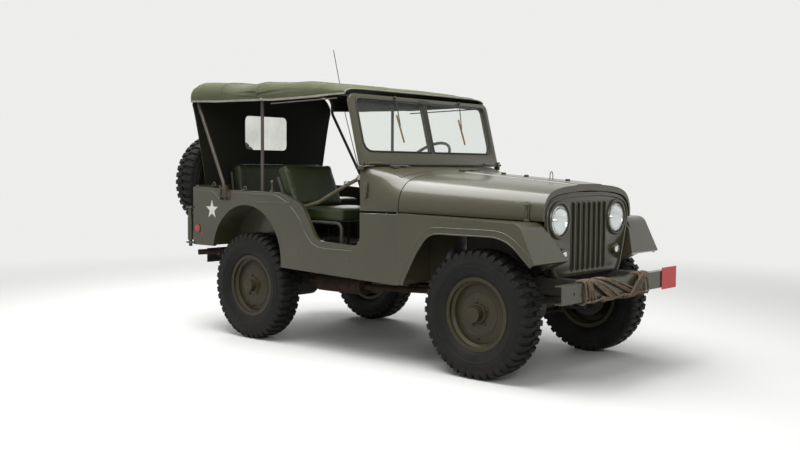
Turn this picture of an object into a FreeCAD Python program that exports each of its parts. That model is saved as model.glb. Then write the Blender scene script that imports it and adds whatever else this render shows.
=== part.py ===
import FreeCAD, Part
import math
import os
from types import SimpleNamespace
import Sketcher
from FreeCAD import Placement, Rotation, Vector

# An army 4x4 car with a canvas top, in millimetres. +Z is up, the car faces -Y and its left side is +X.
# The origin is on the ground, in the middle of the car's length, from the rope on its front bumper to its
# spare wheel. In the code, every Y is measured from the front axle towards the rear.

doc = FreeCAD.newDocument("ArmyCar")
sheet = doc.addObject("Spreadsheet::Sheet", "Sizes")

driving_sizes = [
    # the whole car
    ("wheelbase", 2057), ("half_track", 624.5), ("front_overhang", 590), ("rope_proud", 40),
    ("rear_overhang", 870), ("body_half", 735), ("body_low", 512), ("seam_station", 590),
    ("body_rear", 2680), ("body_rear_low", 660), ("body_top", 1112), ("belt_height", 965),
    ("side_wall", 30), ("sheet_wall", 12), ("moving_gap", 6), ("seat_gap", 0.3), ("overrun", 20),
    # wheels
    ("tyre_radius", 385), ("tyre_half_width", 93), ("tread_half_width", 80), ("bead_radius", 205),
    ("bead_half_width", 57), ("flange_radius", 223), ("flange_wall", 5), ("rim_wall", 6),
    ("rim_well_radius", 188), ("rim_well_half", 22), ("disc_offset", 14), ("disc_dish", 26),
    ("hub_face_radius", 82), ("hub_radius", 44), ("hub_reach", 92), ("spindle_radius", 22),
    ("spindle_reach", 60), ("drum_radius", 140), ("drum_inset", 36), ("drum_wall", 8),
    # axles
    ("tube_radius", 38), ("diff_radius", 112), ("diff_half_width", 90), ("diff_offset", 190),
    ("kingpin_inset", 79.5), ("ball_radius", 48), ("cup_wall", 9), ("cup_gap", 3), ("pin_radius", 11),
    ("boss_radius", 24), ("boss_reach", 92), ("plate_inset", 42), ("plate_wall", 5),
    ("arm_length", 150), ("arm_width", 26), ("arm_inset", 50), ("arm_thick", 16), ("arm_drop", 78),
    ("rod_radius", 12), ("eye_radius", 18),
    # springs
    ("spring_x", 343), ("spring_width", 44), ("leaf_pack", 34), ("leaf_end", 9), ("spring_half", 430),
    ("front_camber", 40), ("rear_camber", 40),
    # frame
    ("rail_half", 371), ("rail_width", 60), ("rail_low", 500), ("rail_front", -542),
    ("rail_rear", 2640), ("rail_kick_start", 1712), ("rail_kick_end", 1880),
    ("member_width", 70), ("member_height", 60),
    # bumpers and hook
    ("bumper_half", 685), ("bumper_low", 493), ("bumper_high", 600), ("bumper_depth", 48),
    ("bumper_wall", 6), ("bumper_hole_spacing", 560), ("bumper_hole_radius", 9),
    ("rope_right", -490), ("rope_left", 310), ("rope_hang", 26), ("rope_radius", 8), ("rope_pitch", 40),
    ("bumperette_inner", 330), ("bumperette_outer", 540), ("bumperette_reach", 90),
    ("bumperette_wall", 8), ("bumperette_low", 500), ("bumperette_high", 610),
    ("hook_radius", 34), ("hook_bar", 13), ("hook_drop", 592), ("hook_reach", 74), ("hook_plate", 60),
    # engine, driveline, tank and exhaust
    ("engine_half", 170), ("engine_front", -150), ("engine_rear", 470), ("engine_low", 560),
    ("engine_high", 1010), ("radiator_half", 250), ("radiator_front", -268), ("radiator_depth", 60),
    ("radiator_low", 600), ("radiator_high", 1030), ("fan_radius", 200),
    ("gearbox_radius", 92), ("gearbox_rear", 880), ("gearbox_height", 500),
    ("transfer_half", 140), ("transfer_front", 870), ("transfer_rear", 1080), ("transfer_low", 400),
    ("transfer_high", 580), ("shaft_height", 440), ("shaft_radius", 24), ("lever_radius", 8), ("lever_knob", 19),
    ("tank_inner", 250), ("tank_outer", 605), ("tank_front", 1190), ("tank_rear", 1560), ("tank_high", 790),
    ("pipe_radius", 21), ("muffler_radius", 62), ("muffler_front", 1120), ("muffler_rear", 1560),
    ("exhaust_start", 120), ("pipe_side", 90), ("pipe_bend", 90), ("pipe_high", 610), ("pipe_end_x", -690), ("pipe_end_height", 593),
    # tub
    ("cowl_rear", 880), ("door_front", 905), ("door_sill", 748), ("door_rear", 1680), ("arch_radius", 385),
    ("arch_height", 590), ("floor_high", 616), ("floor_wall", 16), ("cargo_front", 1690),
    ("cargo_high", 680), ("toe_front", 690), ("toe_high", 860), ("box_inner", 505), ("box_front", 1655),
    ("box_rear", 2459), ("box_high", 988), ("dash_low", 1080), ("firewall_low", 600), ("cowl_top", 1263.2),
    ("cowl_half_front", 705), ("lid_right", -610), ("lid_left", -330), ("lid_front", 655),
    ("lid_rear", 835), ("lid_gap", 5.5),
    # hood and grille
    ("hood_rear_half", 705), ("hood_front_half", 512), ("hood_front", -349), ("hood_rear", 593),
    ("hood_rear_low", 971), ("hood_front_low", 941), ("hood_rear_top", 1228), ("hood_front_top", 1154),
    ("hood_wall", 8), ("hood_lip", 14), ("hood_lip_drop", 40), ("hood_lip_depth", 26), ("hinge_rise", 8), ("hinge_half", 90), ("hinge_radius", 7), ("hinge_pin_radius", 4), ("hinge_gap", 3), ("hinge_leaf", 34), ("lid_hinge_x", -430), ("lid_hinge_height", 1260), ("hood_catch_station", -252),
    ("grille_half", 484), ("grille_top", 1100), ("grille_front", -344),
    ("grille_wall", 14), ("slot_pitch", 61), ("slot_width", 35), ("slot_low", 630), ("slot_high", 1045),
    ("headlamp_x", 334), ("headlamp_height", 942), ("headlamp_radius", 108), ("glass_radius", 89),
    ("headlamp_depth", 58), ("marker_x", 307), ("marker_height", 742), ("marker_radius", 33),
    ("marker_depth", 40),
    # fenders
    ("fender_tip", -440), ("fender_wall", 12), ("apron_x", 400), ("fender_edge_radius", 36),
    # windshield
    ("screen_half", 742), ("screen_low", 1270), ("screen_height", 478), ("screen_thick", 32),
    ("screen_rake", 14.6), ("pane_half", 690), ("pane_low", 88), ("pane_high", 446), ("pane_radius", 60),
    ("divider_half", 12), ("pane_wall", 6), ("wiper_x", 330), ("wiper_drop", 190), ("wiper_radius", 5),
    # canopy
    ("roof_half", 742), ("roof_wall", 9), ("roof_skirt", 1722), ("roof_high", 1905), ("curtain_low", 1096),
    ("curtain_wall", 9), ("curtain_low_half", 610), ("window_half", 225), ("window_low", 1387),
    ("window_high", 1667), ("window_radius", 50), ("bow_radius", 12), ("rear_bow_station", 2289),
    ("rear_bow_top_station", 2640), ("rear_bow_height", 1038), ("front_bow_station", 1915),
    ("front_bow_low", 1000), ("bow_top", 1822), ("bow_corner", 90),
    # seats
    ("seat_inner", 160), ("seat_outer", 655), ("seat_front", 1150), ("seat_rear", 1600), ("seat_high", 975),
    ("cushion_thick", 90), ("back_height", 335), ("back_lean", 24), ("back_rise", 10),
    ("bench_half", 455), ("bench_front", 2040), ("bench_rear", 2440), ("bench_high", 1010),
    ("bench_back_height", 330), ("frame_tube", 12),
    # steering
    ("column_x", 395), ("wheel_station", 1307), ("wheel_height", 1289), ("wheel_radius", 215),
    ("column_lean", 43), ("grip_radius", 11), ("spoke_radius", 7), ("boss_of_wheel_radius", 30),
    ("boss_of_wheel_depth", 40), ("column_radius", 19), ("column_length", 905),
    # spare wheel and its carrier
    ("spare_x", -350), ("spare_station", 2834.5), ("spare_height", 1130), ("post_x", -722),
    ("post_station", 2734), ("post_radius", 14), ("post_low", 640), ("post_high", 940), ("carrier_plate", 8),
    ("carrier_plate_radius", 100), ("post_bracket", 12),
    # antenna
    ("antenna_x", 776), ("antenna_station", 2345), ("antenna_low", 1060), ("antenna_high", 2280),
    ("antenna_radius", 3.5), ("antenna_base_radius", 12), ("antenna_base_height", 80),
    ("antenna_lean", 347), ("antenna_bend", 200),
]


class Size:
    """A named size, or a sum of named sizes: its value for shapes and its text for expressions."""

    def __init__(self, value, text):
        self.value = float(value)
        self.text = text

    def __float__(self):
        return self.value

    def __add__(self, other):
        return joined(self, other, "+", self.value + float(other))

    def __radd__(self, other):
        return joined(other, self, "+", float(other) + self.value)

    def __sub__(self, other):
        return joined(self, other, "-", self.value - float(other))

    def __rsub__(self, other):
        return joined(other, self, "-", float(other) - self.value)

    def __mul__(self, other):
        return joined(self, other, "*", self.value * float(other))

    __rmul__ = __mul__

    def __truediv__(self, other):
        return joined(self, other, "/", self.value / float(other))

    def __neg__(self):
        return Size(-self.value, f"(0 - {self.text})")


def joined(first, second, sign, value):
    return Size(value, f"({text_of(first)} {sign} {text_of(second)})")


def text_of(size):
    return size.text if isinstance(size, Size) else repr(float(size))


def fill_sheet():
    """Writes each driving size in its own row, with its name as the cell's alias."""
    for row, (alias, value) in enumerate(driving_sizes, 1):
        sheet.set(f"A{row}", alias)
        sheet.set(f"B{row}", str(value))
        sheet.setAlias(f"B{row}", alias)
    doc.recompute()
    return SimpleNamespace(**{alias: Size(value, f"Sizes.{alias}") for alias, value in driving_sizes})


s = fill_sheet()
front_axle = (s.rope_proud + s.front_overhang - s.wheelbase - s.rear_overhang) / 2
s.rail_high = s.floor_high - s.floor_wall - s.seat_gap
s.rail_kick = s.cargo_high - s.floor_high
sides = {"right": -1, "left": 1}


def spot(x, y, z):
    """A point of the car, its y measured from the front axle."""
    return Vector(float(x), float(front_axle + y), float(z))


def put(thing, x=0, y=0, z=0):
    for axis, size in (("x", x), ("y", front_axle + y), ("z", z)):
        thing.setExpression(f"Placement.Base.{axis}", text_of(size))
    return thing


def block(x, y, z):
    """A box between two sizes each way."""
    box = doc.addObject("Part::Box", "Block")
    for side, (low, high) in zip(("Length", "Width", "Height"), (x, y, z)):
        box.setExpression(side, text_of(high - low))
    return put(box, x[0], y[0], z[0])


bar_turns = {"x": Rotation(Vector(0, 1, 0), 90), "y": Rotation(Vector(1, 0, 0), -90), "z": Rotation()}


def rod(axis, radius, start, end, x=0, y=0, z=0):
    """A round bar along an axis, between two sizes."""
    bar = doc.addObject("Part::Cylinder", "Bar")
    bar.setExpression("Radius", text_of(radius))
    bar.setExpression("Height", text_of(end - start))
    bar.Placement = Placement(Vector(), bar_turns[axis])
    place = {"x": x, "y": y, "z": z}
    place[axis] = start
    return put(bar, **place)


def ball(radius, x, y, z):
    globe = doc.addObject("Part::Sphere", "Ball")
    globe.setExpression("Radius", text_of(radius))
    return put(globe, x, y, z)


def fuse(*pieces):
    whole = doc.addObject("Part::MultiFuse", "Joined")
    whole.Shapes = list(pieces)
    whole.Refine = True
    return whole


def cut(base, *tools):
    whole = doc.addObject("Part::Cut", "Opened")
    whole.Base = base
    whole.Tool = tools[0] if len(tools) == 1 else fuse(*tools)
    return whole


def common(base, tool):
    whole = doc.addObject("Part::Common", "Shared")
    whole.Base = base
    whole.Tool = tool
    return whole


def mirrored(piece):
    """The same piece on the car's other side."""
    twin = doc.addObject("Part::Mirroring", "Twin")
    twin.Source = piece
    twin.Normal = Vector(1, 0, 0)
    return twin


def both(piece):
    return group(piece, mirrored(piece))


def group(*pieces):
    """Like pieces that share a node and don't touch."""
    whole = doc.addObject("Part::Compound", "Group")
    whole.Links = list(pieces)
    return whole


def made(shape, name="Shaped"):
    thing = doc.addObject("Part::Feature", name)
    thing.Shape = shape
    return thing


def toward(first, second, length):
    step = second - first
    return first + step * (length / step.Length)


def corner_arc(before, corner, after, radius):
    """The arc that rounds a corner: its start, its middle and its end."""
    back = (before - corner).normalize()
    ahead = (after - corner).normalize()
    half = back.getAngle(ahead) / 2
    reach = radius / math.tan(half)
    centre = corner + (back + ahead).normalize() * (radius / math.sin(half))
    middle = centre + (corner - centre).normalize() * radius
    return corner + back * reach, middle, corner + ahead * reach


planes = {"XY": ("XY_Plane", False), "XZ": ("XZ_Plane", True), "YZ": ("YZ_Plane", False)}


def sketched(body, plane, outlines):
    """A sketch of closed outlines whose corners are bound to sizes: each is (across, up, radius or 0)."""
    sketch = body.newObject("Sketcher::SketchObject", "Outline")
    origin_plane = [part for part in body.Origin.OriginFeatures if part.Role == planes[plane][0]][0]
    sketch.AttachmentSupport = [(origin_plane, "")]
    sketch.MapMode = "FlatFace"
    for outline in outlines:
        draw(sketch, outline)
    return sketch


def draw(sketch, outline):
    points = [Vector(float(across), float(up), 0) for across, up, radius in outline]
    count = len(points)
    ends = []
    for i, (across, up, radius) in enumerate(outline):
        if float(radius):
            ends.append(corner_arc(points[i - 1], points[i], points[(i + 1) % count], float(radius)))
        else:
            ends.append((points[i], None, points[i]))
    lines = []
    for i in range(count):
        lines.append(sketch.addGeometry(Part.LineSegment(ends[i][2], ends[(i + 1) % count][0])))
    for i, (across, up, radius) in enumerate(outline):
        before, after = lines[i - 1], lines[i]
        if ends[i][1] is None:
            hold(sketch, "Coincident", before, 2, after, 1)
            bind_point(sketch, after, across, up)
            continue
        arc = sketch.addGeometry(Part.Arc(*ends[i]))
        turn = (points[i] - points[i - 1]).cross(points[(i + 1) % count] - points[i]).z
        first, last = (1, 2) if turn > 0 else (2, 1)
        hold(sketch, "Tangent", before, 2, arc, first)
        hold(sketch, "Tangent", arc, last, after, 1)
        number = hold(sketch, "Radius", arc, float(radius))
        sketch.setExpression(f"Constraints[{number}]", text_of(radius))
        corner = sketch.addGeometry(Part.Point(points[i]), True)
        hold(sketch, "PointOnObject", corner, 1, before)
        hold(sketch, "PointOnObject", corner, 1, after)
        bind_point(sketch, corner, across, up)


def hold(sketch, kind, *parts):
    return sketch.addConstraint(Sketcher.Constraint(kind, *parts))


def bind_point(sketch, line, across, up):
    for kind, size in (("DistanceX", across), ("DistanceY", up)):
        number = hold(sketch, kind, -1, 1, line, 1, float(size))
        sketch.setExpression(f"Constraints[{number}]", text_of(size))


def pad(plane, outlines, start, end):
    """A body padded from outlines in one plane, between two sizes along its normal."""
    body = doc.addObject("PartDesign::Body", "Plate")
    sketch = sketched(body, plane, outlines)
    feature = body.newObject("PartDesign::Pad", "Pad")
    feature.Profile = sketch
    feature.setExpression("Length", text_of(end - start))
    feature.Reversed = planes[plane][1]
    body.Tip = feature
    across = {"XY": "z", "XZ": "y", "YZ": "x"}[plane]
    return put(body, **{across: start})


def turned(outlines, x=0, y=0, z=0, side=1):
    """A body turned about the X axis from outlines of (along the axis, radius, corner)."""
    body = doc.addObject("PartDesign::Body", "Turned")
    flipped = [[(along * side, radius, corner) for along, radius, corner in line[::side]] for line in outlines]
    sketch = sketched(body, "XY", flipped)
    feature = body.newObject("PartDesign::Revolution", "Revolution")
    feature.Profile = sketch
    feature.ReferenceAxis = ([part for part in body.Origin.OriginFeatures if part.Role == "X_Axis"][0], [""])
    body.Tip = feature
    return put(body, x, y, z)


def by_shares(shares, along, up):
    """Outline corners from shares of a length and a height; each corner's radius is a share of the height."""
    return [
        (along[0] + along[1] * a, up[0] + up[1] * b, up[1] * c if c else 0)
        for a, b, c in shares
    ]


def pipe(points, radius, bend):
    """A round bar along straight runs joined by tangent arcs."""
    return made(pipe_shape(points, float(radius), float(bend)))


def pipe_shape(points, radius, bend):
    edges = []
    here = points[0]
    for i in range(1, len(points) - 1):
        room = 0.45 * min((points[i] - points[i - 1]).Length, (points[i + 1] - points[i]).Length)
        half = (points[i - 1] - points[i]).getAngle(points[i + 1] - points[i]) / 2
        start, middle, end = corner_arc(points[i - 1], points[i], points[i + 1], min(bend, room * math.tan(half)))
        edges.append(Part.LineSegment(here, start).toShape())
        edges.append(Part.Arc(start, middle, end).toShape())
        here = end
    edges.append(Part.LineSegment(here, points[-1]).toShape())
    ring = Part.Wire(Part.Circle(points[0], points[1] - points[0], radius).toShape())
    return Part.Wire(edges).makePipeShell([ring], True, False)


crown_shares = [
    (1.0, 0.0), (0.999, 0.275), (0.963, 0.516), (0.887, 0.717), (0.793, 0.822), (0.674, 0.891),
    (0.355, 0.965), (0.0, 1.0),
]
cowl_shares = [
    (1.0, 0.0), (1.0, 0.45), (0.998, 0.76), (0.985, 0.90), (0.95, 0.965), (0.88, 0.99), (0.5, 0.998), (0.0, 1.0),
]


def crown_section(station, half, low, top, wall, shares):
    """A closed section across the car: a crowned outer line and the same line one wall further in."""
    lines = []
    side_wall, top_wall = wall if isinstance(wall, tuple) else (wall, wall)
    for inset, drop in ((0, 0), (float(side_wall), float(top_wall))):
        wide = float(half) - inset
        high = float(top) - float(low) - drop
        right = [spot(-wide * a, station, float(low) + high * b) for a, b in shares]
        lines.append(right + [spot(wide * a, station, float(low) + high * b) for a, b in shares[-2::-1]])
    outer, inner = lines
    curves = []
    for line in (outer, inner[::-1]):
        curve = Part.BSplineCurve()
        curve.interpolate(line)
        curves.append(curve.toShape())
    feet = [Part.makeLine(outer[-1], inner[-1]), Part.makeLine(inner[0], outer[0])]
    return Part.Wire([curves[0], feet[0], curves[1], feet[1]])


def crowned_shell(sections, *shares):
    """A bent sheet through sections of (station, half width, low edge, top, wall), with their shares."""
    wires = [crown_section(*section, shares[i % len(shares)]) for i, section in enumerate(sections)]
    return made(Part.makeLoft(wires, True, len(sections) == 2))


def crowned_block(sections, *each_shares):
    """A closed solid under the same crowned lines."""
    wires = []
    for (station, half, low, top), shares in zip(sections, each_shares):
        right = [spot(-half * a, station, low + (top - low) * b) for a, b in shares]
        line = right + [spot(half * a, station, low + (top - low) * b) for a, b in shares[-2::-1]]
        curve = Part.BSplineCurve()
        curve.interpolate(line)
        wires.append(Part.Wire([curve.toShape(), Part.makeLine(line[-1], line[0])]))
    return made(Part.makeLoft(wires, True, len(sections) == 2))


nodes = []


def node(label, piece):
    """Names a finished sub-part."""
    piece.Label = label
    nodes.append(piece)
    return piece


# wheels

def tyre_outline():
    half = s.tyre_half_width
    return [[
        (-s.bead_half_width, s.bead_radius, 0), (s.bead_half_width, s.bead_radius, 0),
        (s.bead_half_width, s.flange_radius, 0), (half, (s.bead_radius + s.tyre_radius) / 2 - s.overrun, 0),
        (half, s.tyre_radius - s.overrun, 0), (s.tread_half_width, s.tyre_radius, 0),
        (-s.tread_half_width, s.tyre_radius, 0), (-half, s.tyre_radius - s.overrun, 0),
        (-half, (s.bead_radius + s.tyre_radius) / 2 - s.overrun, 0), (-s.bead_half_width, s.flange_radius, 0),
    ]]


def rim_outline():
    low = s.bead_radius - s.seat_gap
    edge = s.bead_half_width + s.seat_gap
    well = s.rim_well_radius
    return [[
        (-edge, low, 0), (-edge, s.flange_radius, 0), (-edge - s.flange_wall, s.flange_radius, 0),
        (-edge - s.flange_wall, low - s.rim_wall, 0), (-s.rim_well_half - s.overrun, low - s.rim_wall, 0),
        (-s.rim_well_half, well - s.rim_wall, 0), (s.disc_offset - s.rim_wall, well - s.rim_wall, 0),
        (s.disc_offset + s.disc_dish - s.rim_wall, s.hub_face_radius, 0),
        (s.disc_offset + s.disc_dish - s.rim_wall, s.hub_radius + s.seat_gap, 0),
        (s.disc_offset + s.disc_dish, s.hub_radius + s.seat_gap, 0),
        (s.disc_offset + s.disc_dish, s.hub_face_radius + s.rim_wall, 0),
        (s.disc_offset + s.rim_wall, well - s.rim_wall, 0),
        (s.rim_well_half + s.rim_wall, well - s.rim_wall, 0),
        (s.rim_well_half + s.overrun, low - s.rim_wall, 0), (edge + s.flange_wall, low - s.rim_wall, 0),
        (edge + s.flange_wall, s.flange_radius, 0), (edge, s.flange_radius, 0), (edge, low, 0),
        (s.rim_well_half + s.overrun, low, 0), (s.rim_well_half, well, 0), (-s.rim_well_half, well, 0),
        (-s.rim_well_half - s.overrun, low, 0),
    ]]


def hub_outline():
    face = s.disc_offset + s.disc_dish
    bore = s.spindle_radius + s.seat_gap
    drum = s.drum_radius
    return [[
        (-s.drum_inset, drum - s.drum_wall, 0), (-s.drum_inset, drum, 0), (-s.rim_wall, drum, 0),
        (face - s.rim_wall - s.seat_gap, s.hub_face_radius - s.rim_wall, 0),
        (face - s.rim_wall - s.seat_gap, s.hub_radius, 0), (s.hub_reach, s.hub_radius, 0),
        (s.hub_reach, 0, 0), (s.spindle_reach + s.seat_gap, 0, 0), (s.spindle_reach + s.seat_gap, bore, 0),
        (-s.rim_wall - s.drum_wall, bore, 0), (-s.rim_wall - s.drum_wall, drum - s.drum_wall, 0),
    ]]


def add_wheels():
    for end, station in (("front", 0), ("rear", s.wheelbase)):
        for side, sign in sides.items():
            place = {"x": s.half_track * sign, "y": station, "z": s.tyre_radius}
            node(f"tyre_{end}_{side}", turned(tyre_outline(), **place))
            node(f"rim_{end}_{side}", group(
                turned(rim_outline(), side=sign, **place), turned(hub_outline(), side=sign, **place)))


# axles and steering knuckles

def knuckle(sign):
    pin_x = (s.half_track - s.kingpin_inset) * sign
    height = s.tyre_radius
    inner = s.ball_radius + s.cup_gap
    reach = inner + s.cup_wall + s.overrun
    near, far = sorted((pin_x - s.cup_gap * sign, pin_x + reach * sign), key=float)
    half_ball = common(ball(inner + s.cup_wall, pin_x, 0, height),
                       block((near, far), (-reach, reach), (height - reach, height + reach)))
    boss = rod("z", s.boss_radius, height - s.boss_reach, height + s.boss_reach, x=pin_x)
    plate_x = s.half_track - s.plate_inset
    near, far = sorted((plate_x * sign, (plate_x - s.plate_wall) * sign), key=float)
    plate = rod("x", s.drum_radius, near, far, z=height)
    near, far = sorted((pin_x + s.ball_radius * sign, (s.half_track + s.spindle_reach) * sign), key=float)
    spindle = rod("x", s.spindle_radius, near, far, z=height)
    arm_low = height - s.arm_drop - s.arm_thick
    arm_x = pin_x - s.arm_inset * sign
    arm = pad("XY", [[
        (pin_x + s.arm_width * sign, 0, 0), (arm_x + s.eye_radius * sign, s.arm_length, 0),
        (arm_x - s.eye_radius * sign, s.arm_length, 0), (pin_x - s.arm_width * sign, 0, 0),
    ][::sign]], arm_low, arm_low + s.arm_thick)
    eye = rod("z", s.eye_radius, arm_low, arm_low + s.arm_thick, x=arm_x, y=s.arm_length)
    cup = cut(fuse(half_ball, boss, plate, spindle, arm, eye), ball(inner, pin_x, 0, height))
    pins = [rod("z", s.pin_radius, low, low + s.boss_reach - inner + s.overrun, x=pin_x)
            for low in (height - s.boss_reach, height + inner - s.overrun)]
    return fuse(cup, *pins)


def add_front_axle():
    pin_x = s.half_track - s.kingpin_inset
    height = s.tyre_radius
    tube = rod("x", s.tube_radius, -pin_x, pin_x, z=height)
    diff = diff_case(0)
    ends = []
    for sign in sides.values():
        pin_hole = rod("z", s.pin_radius + s.seat_gap, height - s.ball_radius - s.overrun,
                       height + s.ball_radius + s.overrun, x=pin_x * sign)
        ends.append((ball(s.ball_radius, pin_x * sign, 0, height), pin_hole))
    whole = fuse(tube, diff, *[end[0] for end in ends])
    node("front_axle", cut(whole, *[end[1] for end in ends]))


def diff_case(station):
    """The round differential housing, with its flat cover."""
    height = s.tyre_radius
    near, far = -s.diff_offset - s.diff_half_width, -s.diff_offset + s.diff_half_width
    bowl = rod("x", s.diff_radius, near, far, y=station, z=height)
    return bowl


def add_rear_axle():
    height = s.tyre_radius
    plate_x = s.half_track - s.plate_inset
    spindle_end = s.half_track + s.spindle_reach
    pieces = [rod("x", s.tube_radius, -plate_x, plate_x, y=s.wheelbase, z=height), diff_case(s.wheelbase)]
    pieces.append(rod("x", s.spindle_radius, -spindle_end, spindle_end, y=s.wheelbase, z=height))
    for near, far in ((plate_x - s.plate_wall, plate_x), (-plate_x, -plate_x + s.plate_wall)):
        pieces.append(rod("x", s.drum_radius, near, far, y=s.wheelbase, z=height))
    node("rear_axle", fuse(*pieces))


def add_tie_rod():
    eye_x = s.half_track - s.kingpin_inset - s.arm_inset
    high = s.tyre_radius - s.arm_drop - s.arm_thick - s.seat_gap
    low = high - s.eye_radius
    place = {"y": s.arm_length}
    bar = rod("x", s.rod_radius, -eye_x, eye_x, z=high - s.rod_radius, **place)
    eyes = [rod("z", s.eye_radius, low - s.rod_radius, high, x=eye_x * sign, **place) for sign in (-1, 1)]
    node("tie_rod", fuse(bar, *eyes))


# frame, springs, bumpers

def rail_outline():
    low, high, kick = s.rail_low, s.rail_high, s.rail_kick
    return [[
        (s.rail_front, low, 0), (s.rail_kick_start, low, 0), (s.rail_kick_end, low + kick, 0),
        (s.rail_rear, low + kick, 0), (s.rail_rear, high + kick, 0), (s.rail_kick_end, high + kick, 0),
        (s.rail_kick_start, high, 0), (s.rail_front, high, 0),
    ]]


member_shares = [0.03, 0.20, 0.53, 0.66, 0.83]


def add_frame():
    inner = s.rail_half - s.rail_width
    pieces = [pad("YZ", rail_outline(), inner, s.rail_half), pad("YZ", rail_outline(), -s.rail_half, -inner)]
    span = s.rail_rear - s.rail_front
    for share in member_shares:
        middle = s.rail_front + span * share
        low = s.rail_low if float(middle) < float(s.rail_kick_start) else s.rail_low + s.rail_kick
        pieces.append(block((-inner, inner), (middle - s.member_width / 2, middle + s.member_width / 2),
                            (low, low + s.member_height)))
    low = s.rail_low + s.rail_kick
    pieces.append(block((-s.bumperette_outer, s.bumperette_outer), (s.rail_rear - s.member_width / 2, s.rail_rear),
                        (low, low + s.member_height)))
    for station in (0, s.wheelbase):
        for way in (-1, 1):
            for sign in sides.values():
                pieces.append(spring_hanger(station + s.spring_half * way, s.spring_x * sign))
    node("frame_rails", fuse(*pieces))


def spring_hanger(station, x):
    """The bracket under a rail that holds one end of a spring."""
    eye_top = s.tyre_radius + s.tube_radius + s.front_camber + s.eye_radius + s.seat_gap * 2
    half = s.spring_width / 2
    rail = s.rail_low if float(station) < float(s.rail_kick_start) else s.rail_low + s.rail_kick
    return block((x - half, x + half), (station - s.eye_radius, station + s.eye_radius), (eye_top, rail))


def leaf_spring(station, camber, x):
    """A pack of leaves, thick over the axle and bent up to its eyes."""
    low = s.tyre_radius + s.tube_radius + s.seat_gap
    half = s.spring_half
    outline = [[
        (station - half, low + camber, 0), (station - s.member_width, low, 0), (station + s.member_width, low, 0),
        (station + half, low + camber, 0), (station + half, low + camber + s.leaf_end, 0),
        (station + s.member_width, low + s.leaf_pack, 0), (station - s.member_width, low + s.leaf_pack, 0),
        (station - half, low + camber + s.leaf_end, 0),
    ]]
    near = x - s.spring_width / 2
    leaves = pad("YZ", outline, near, near + s.spring_width)
    eyes = [rod("x", s.eye_radius, near, near + s.spring_width, y=station + half * way,
                z=low + camber) for way in (-1, 1)]
    return fuse(leaves, *eyes)


def add_springs():
    node("springs", group(*[
        leaf_spring(station, camber, s.spring_x * sign)
        for station, camber in ((0, s.front_camber), (s.wheelbase, s.rear_camber))
        for sign in sides.values()
    ]))


def add_front_bumper():
    front = -s.front_overhang
    rear = front + s.bumper_depth
    bar = block((-s.bumper_half, s.bumper_half), (front, rear), (s.bumper_low, s.bumper_high))
    hollow = block((-s.bumper_half - s.overrun, s.bumper_half + s.overrun), (front + s.bumper_wall, rear + s.overrun),
                   (s.bumper_low + s.bumper_wall, s.bumper_high - s.bumper_wall))
    height = (s.bumper_low + s.bumper_high) / 2
    holes = [rod("y", s.bumper_hole_radius, front - s.overrun, rear, x=s.bumper_hole_spacing * sign, z=height)
             for sign in sides.values()]
    horns = []
    for sign in (-1, 1):
        near, far = sorted((s.rail_half * sign, (s.rail_half - s.rail_width) * sign), key=float)
        horns.append(block((near, far), (front + s.bumper_wall, rear - s.seat_gap),
                           (s.bumper_low + s.bumper_wall, s.bumper_high - s.bumper_wall)))
    node("front_bumper", cut(fuse(cut(bar, hollow), *horns), *holes))


def add_bumper_rope():
    """Rope wound side by side round the bumper, as one sleeve that it fills."""
    front = -s.front_overhang
    rear = front + s.bumper_depth
    proud = s.rope_proud
    outer = block((s.rope_right, s.rope_left), (front - proud, rear + proud),
                  (s.bumper_low - s.rope_hang, s.bumper_high + s.rope_radius * 2))
    inner = block((s.rope_right - s.overrun, s.rope_left + s.overrun), (front - s.seat_gap, rear + s.seat_gap),
                  (s.bumper_low - s.seat_gap, s.bumper_high + s.seat_gap))
    gaps = []
    for sign in (-1, 1):
        near, far = sorted((s.rail_half * sign, (s.rail_half - s.rail_width) * sign), key=float)
        gaps.append(block((near - s.seat_gap, far + s.seat_gap), (rear - s.overrun, rear + proud + s.overrun),
                          (s.bumper_low, s.bumper_high)))
    node("bumper_rope", cut(outer, inner, *gaps))


def add_bumperettes():
    rear = s.body_rear + s.bumperette_reach
    shelf = s.rail_low + s.rail_kick + s.overrun
    face = rear - s.bumperette_wall
    start = s.rail_rear + s.seat_gap
    outline = [[
        (start, shelf, 0), (face, shelf, 0), (face, s.bumperette_low, 0), (rear, s.bumperette_low, 0),
        (rear, s.bumperette_high, 0), (face, s.bumperette_high, 0), (face, shelf + s.bumperette_wall, 0),
        (start, shelf + s.bumperette_wall, 0),
    ]]
    node("bumperettes", both(pad("YZ", outline, s.bumperette_inner, s.bumperette_outer)))


def add_pintle():
    start = s.rail_rear + s.seat_gap
    end = start + s.hook_reach
    plate = block((-s.hook_plate, s.hook_plate), (start, start + s.bumperette_wall),
                  (s.hook_drop - s.hook_plate, s.hook_drop + s.hook_plate / 2))
    neck = rod("y", s.hook_bar, start, end, z=s.hook_drop)
    ring = doc.addObject("Part::Torus", "Ring")
    ring.setExpression("Radius1", text_of(s.hook_radius))
    ring.setExpression("Radius2", text_of(s.hook_bar))
    ring.Placement = Placement(Vector(), Rotation(Vector(0, 1, 0), 90))
    put(ring, y=end + s.hook_radius, z=s.hook_drop)
    node("pintle_hook", fuse(plate, neck, ring))


# engine, driveline, tank, exhaust

def add_engine():
    node("engine_block", block((-s.engine_half, s.engine_half), (s.engine_front, s.engine_rear),
                               (s.engine_low, s.engine_high)))
    rear = s.radiator_front + s.radiator_depth
    core = block((-s.radiator_half, s.radiator_half), (s.radiator_front, rear),
                 (s.radiator_low, s.radiator_high))
    foot = block((-s.rail_half, s.rail_half), (s.radiator_front, rear),
                 (s.rail_high + s.seat_gap, s.rail_high + s.seat_gap + s.sheet_wall))
    node("radiator", fuse(core, foot))


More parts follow.
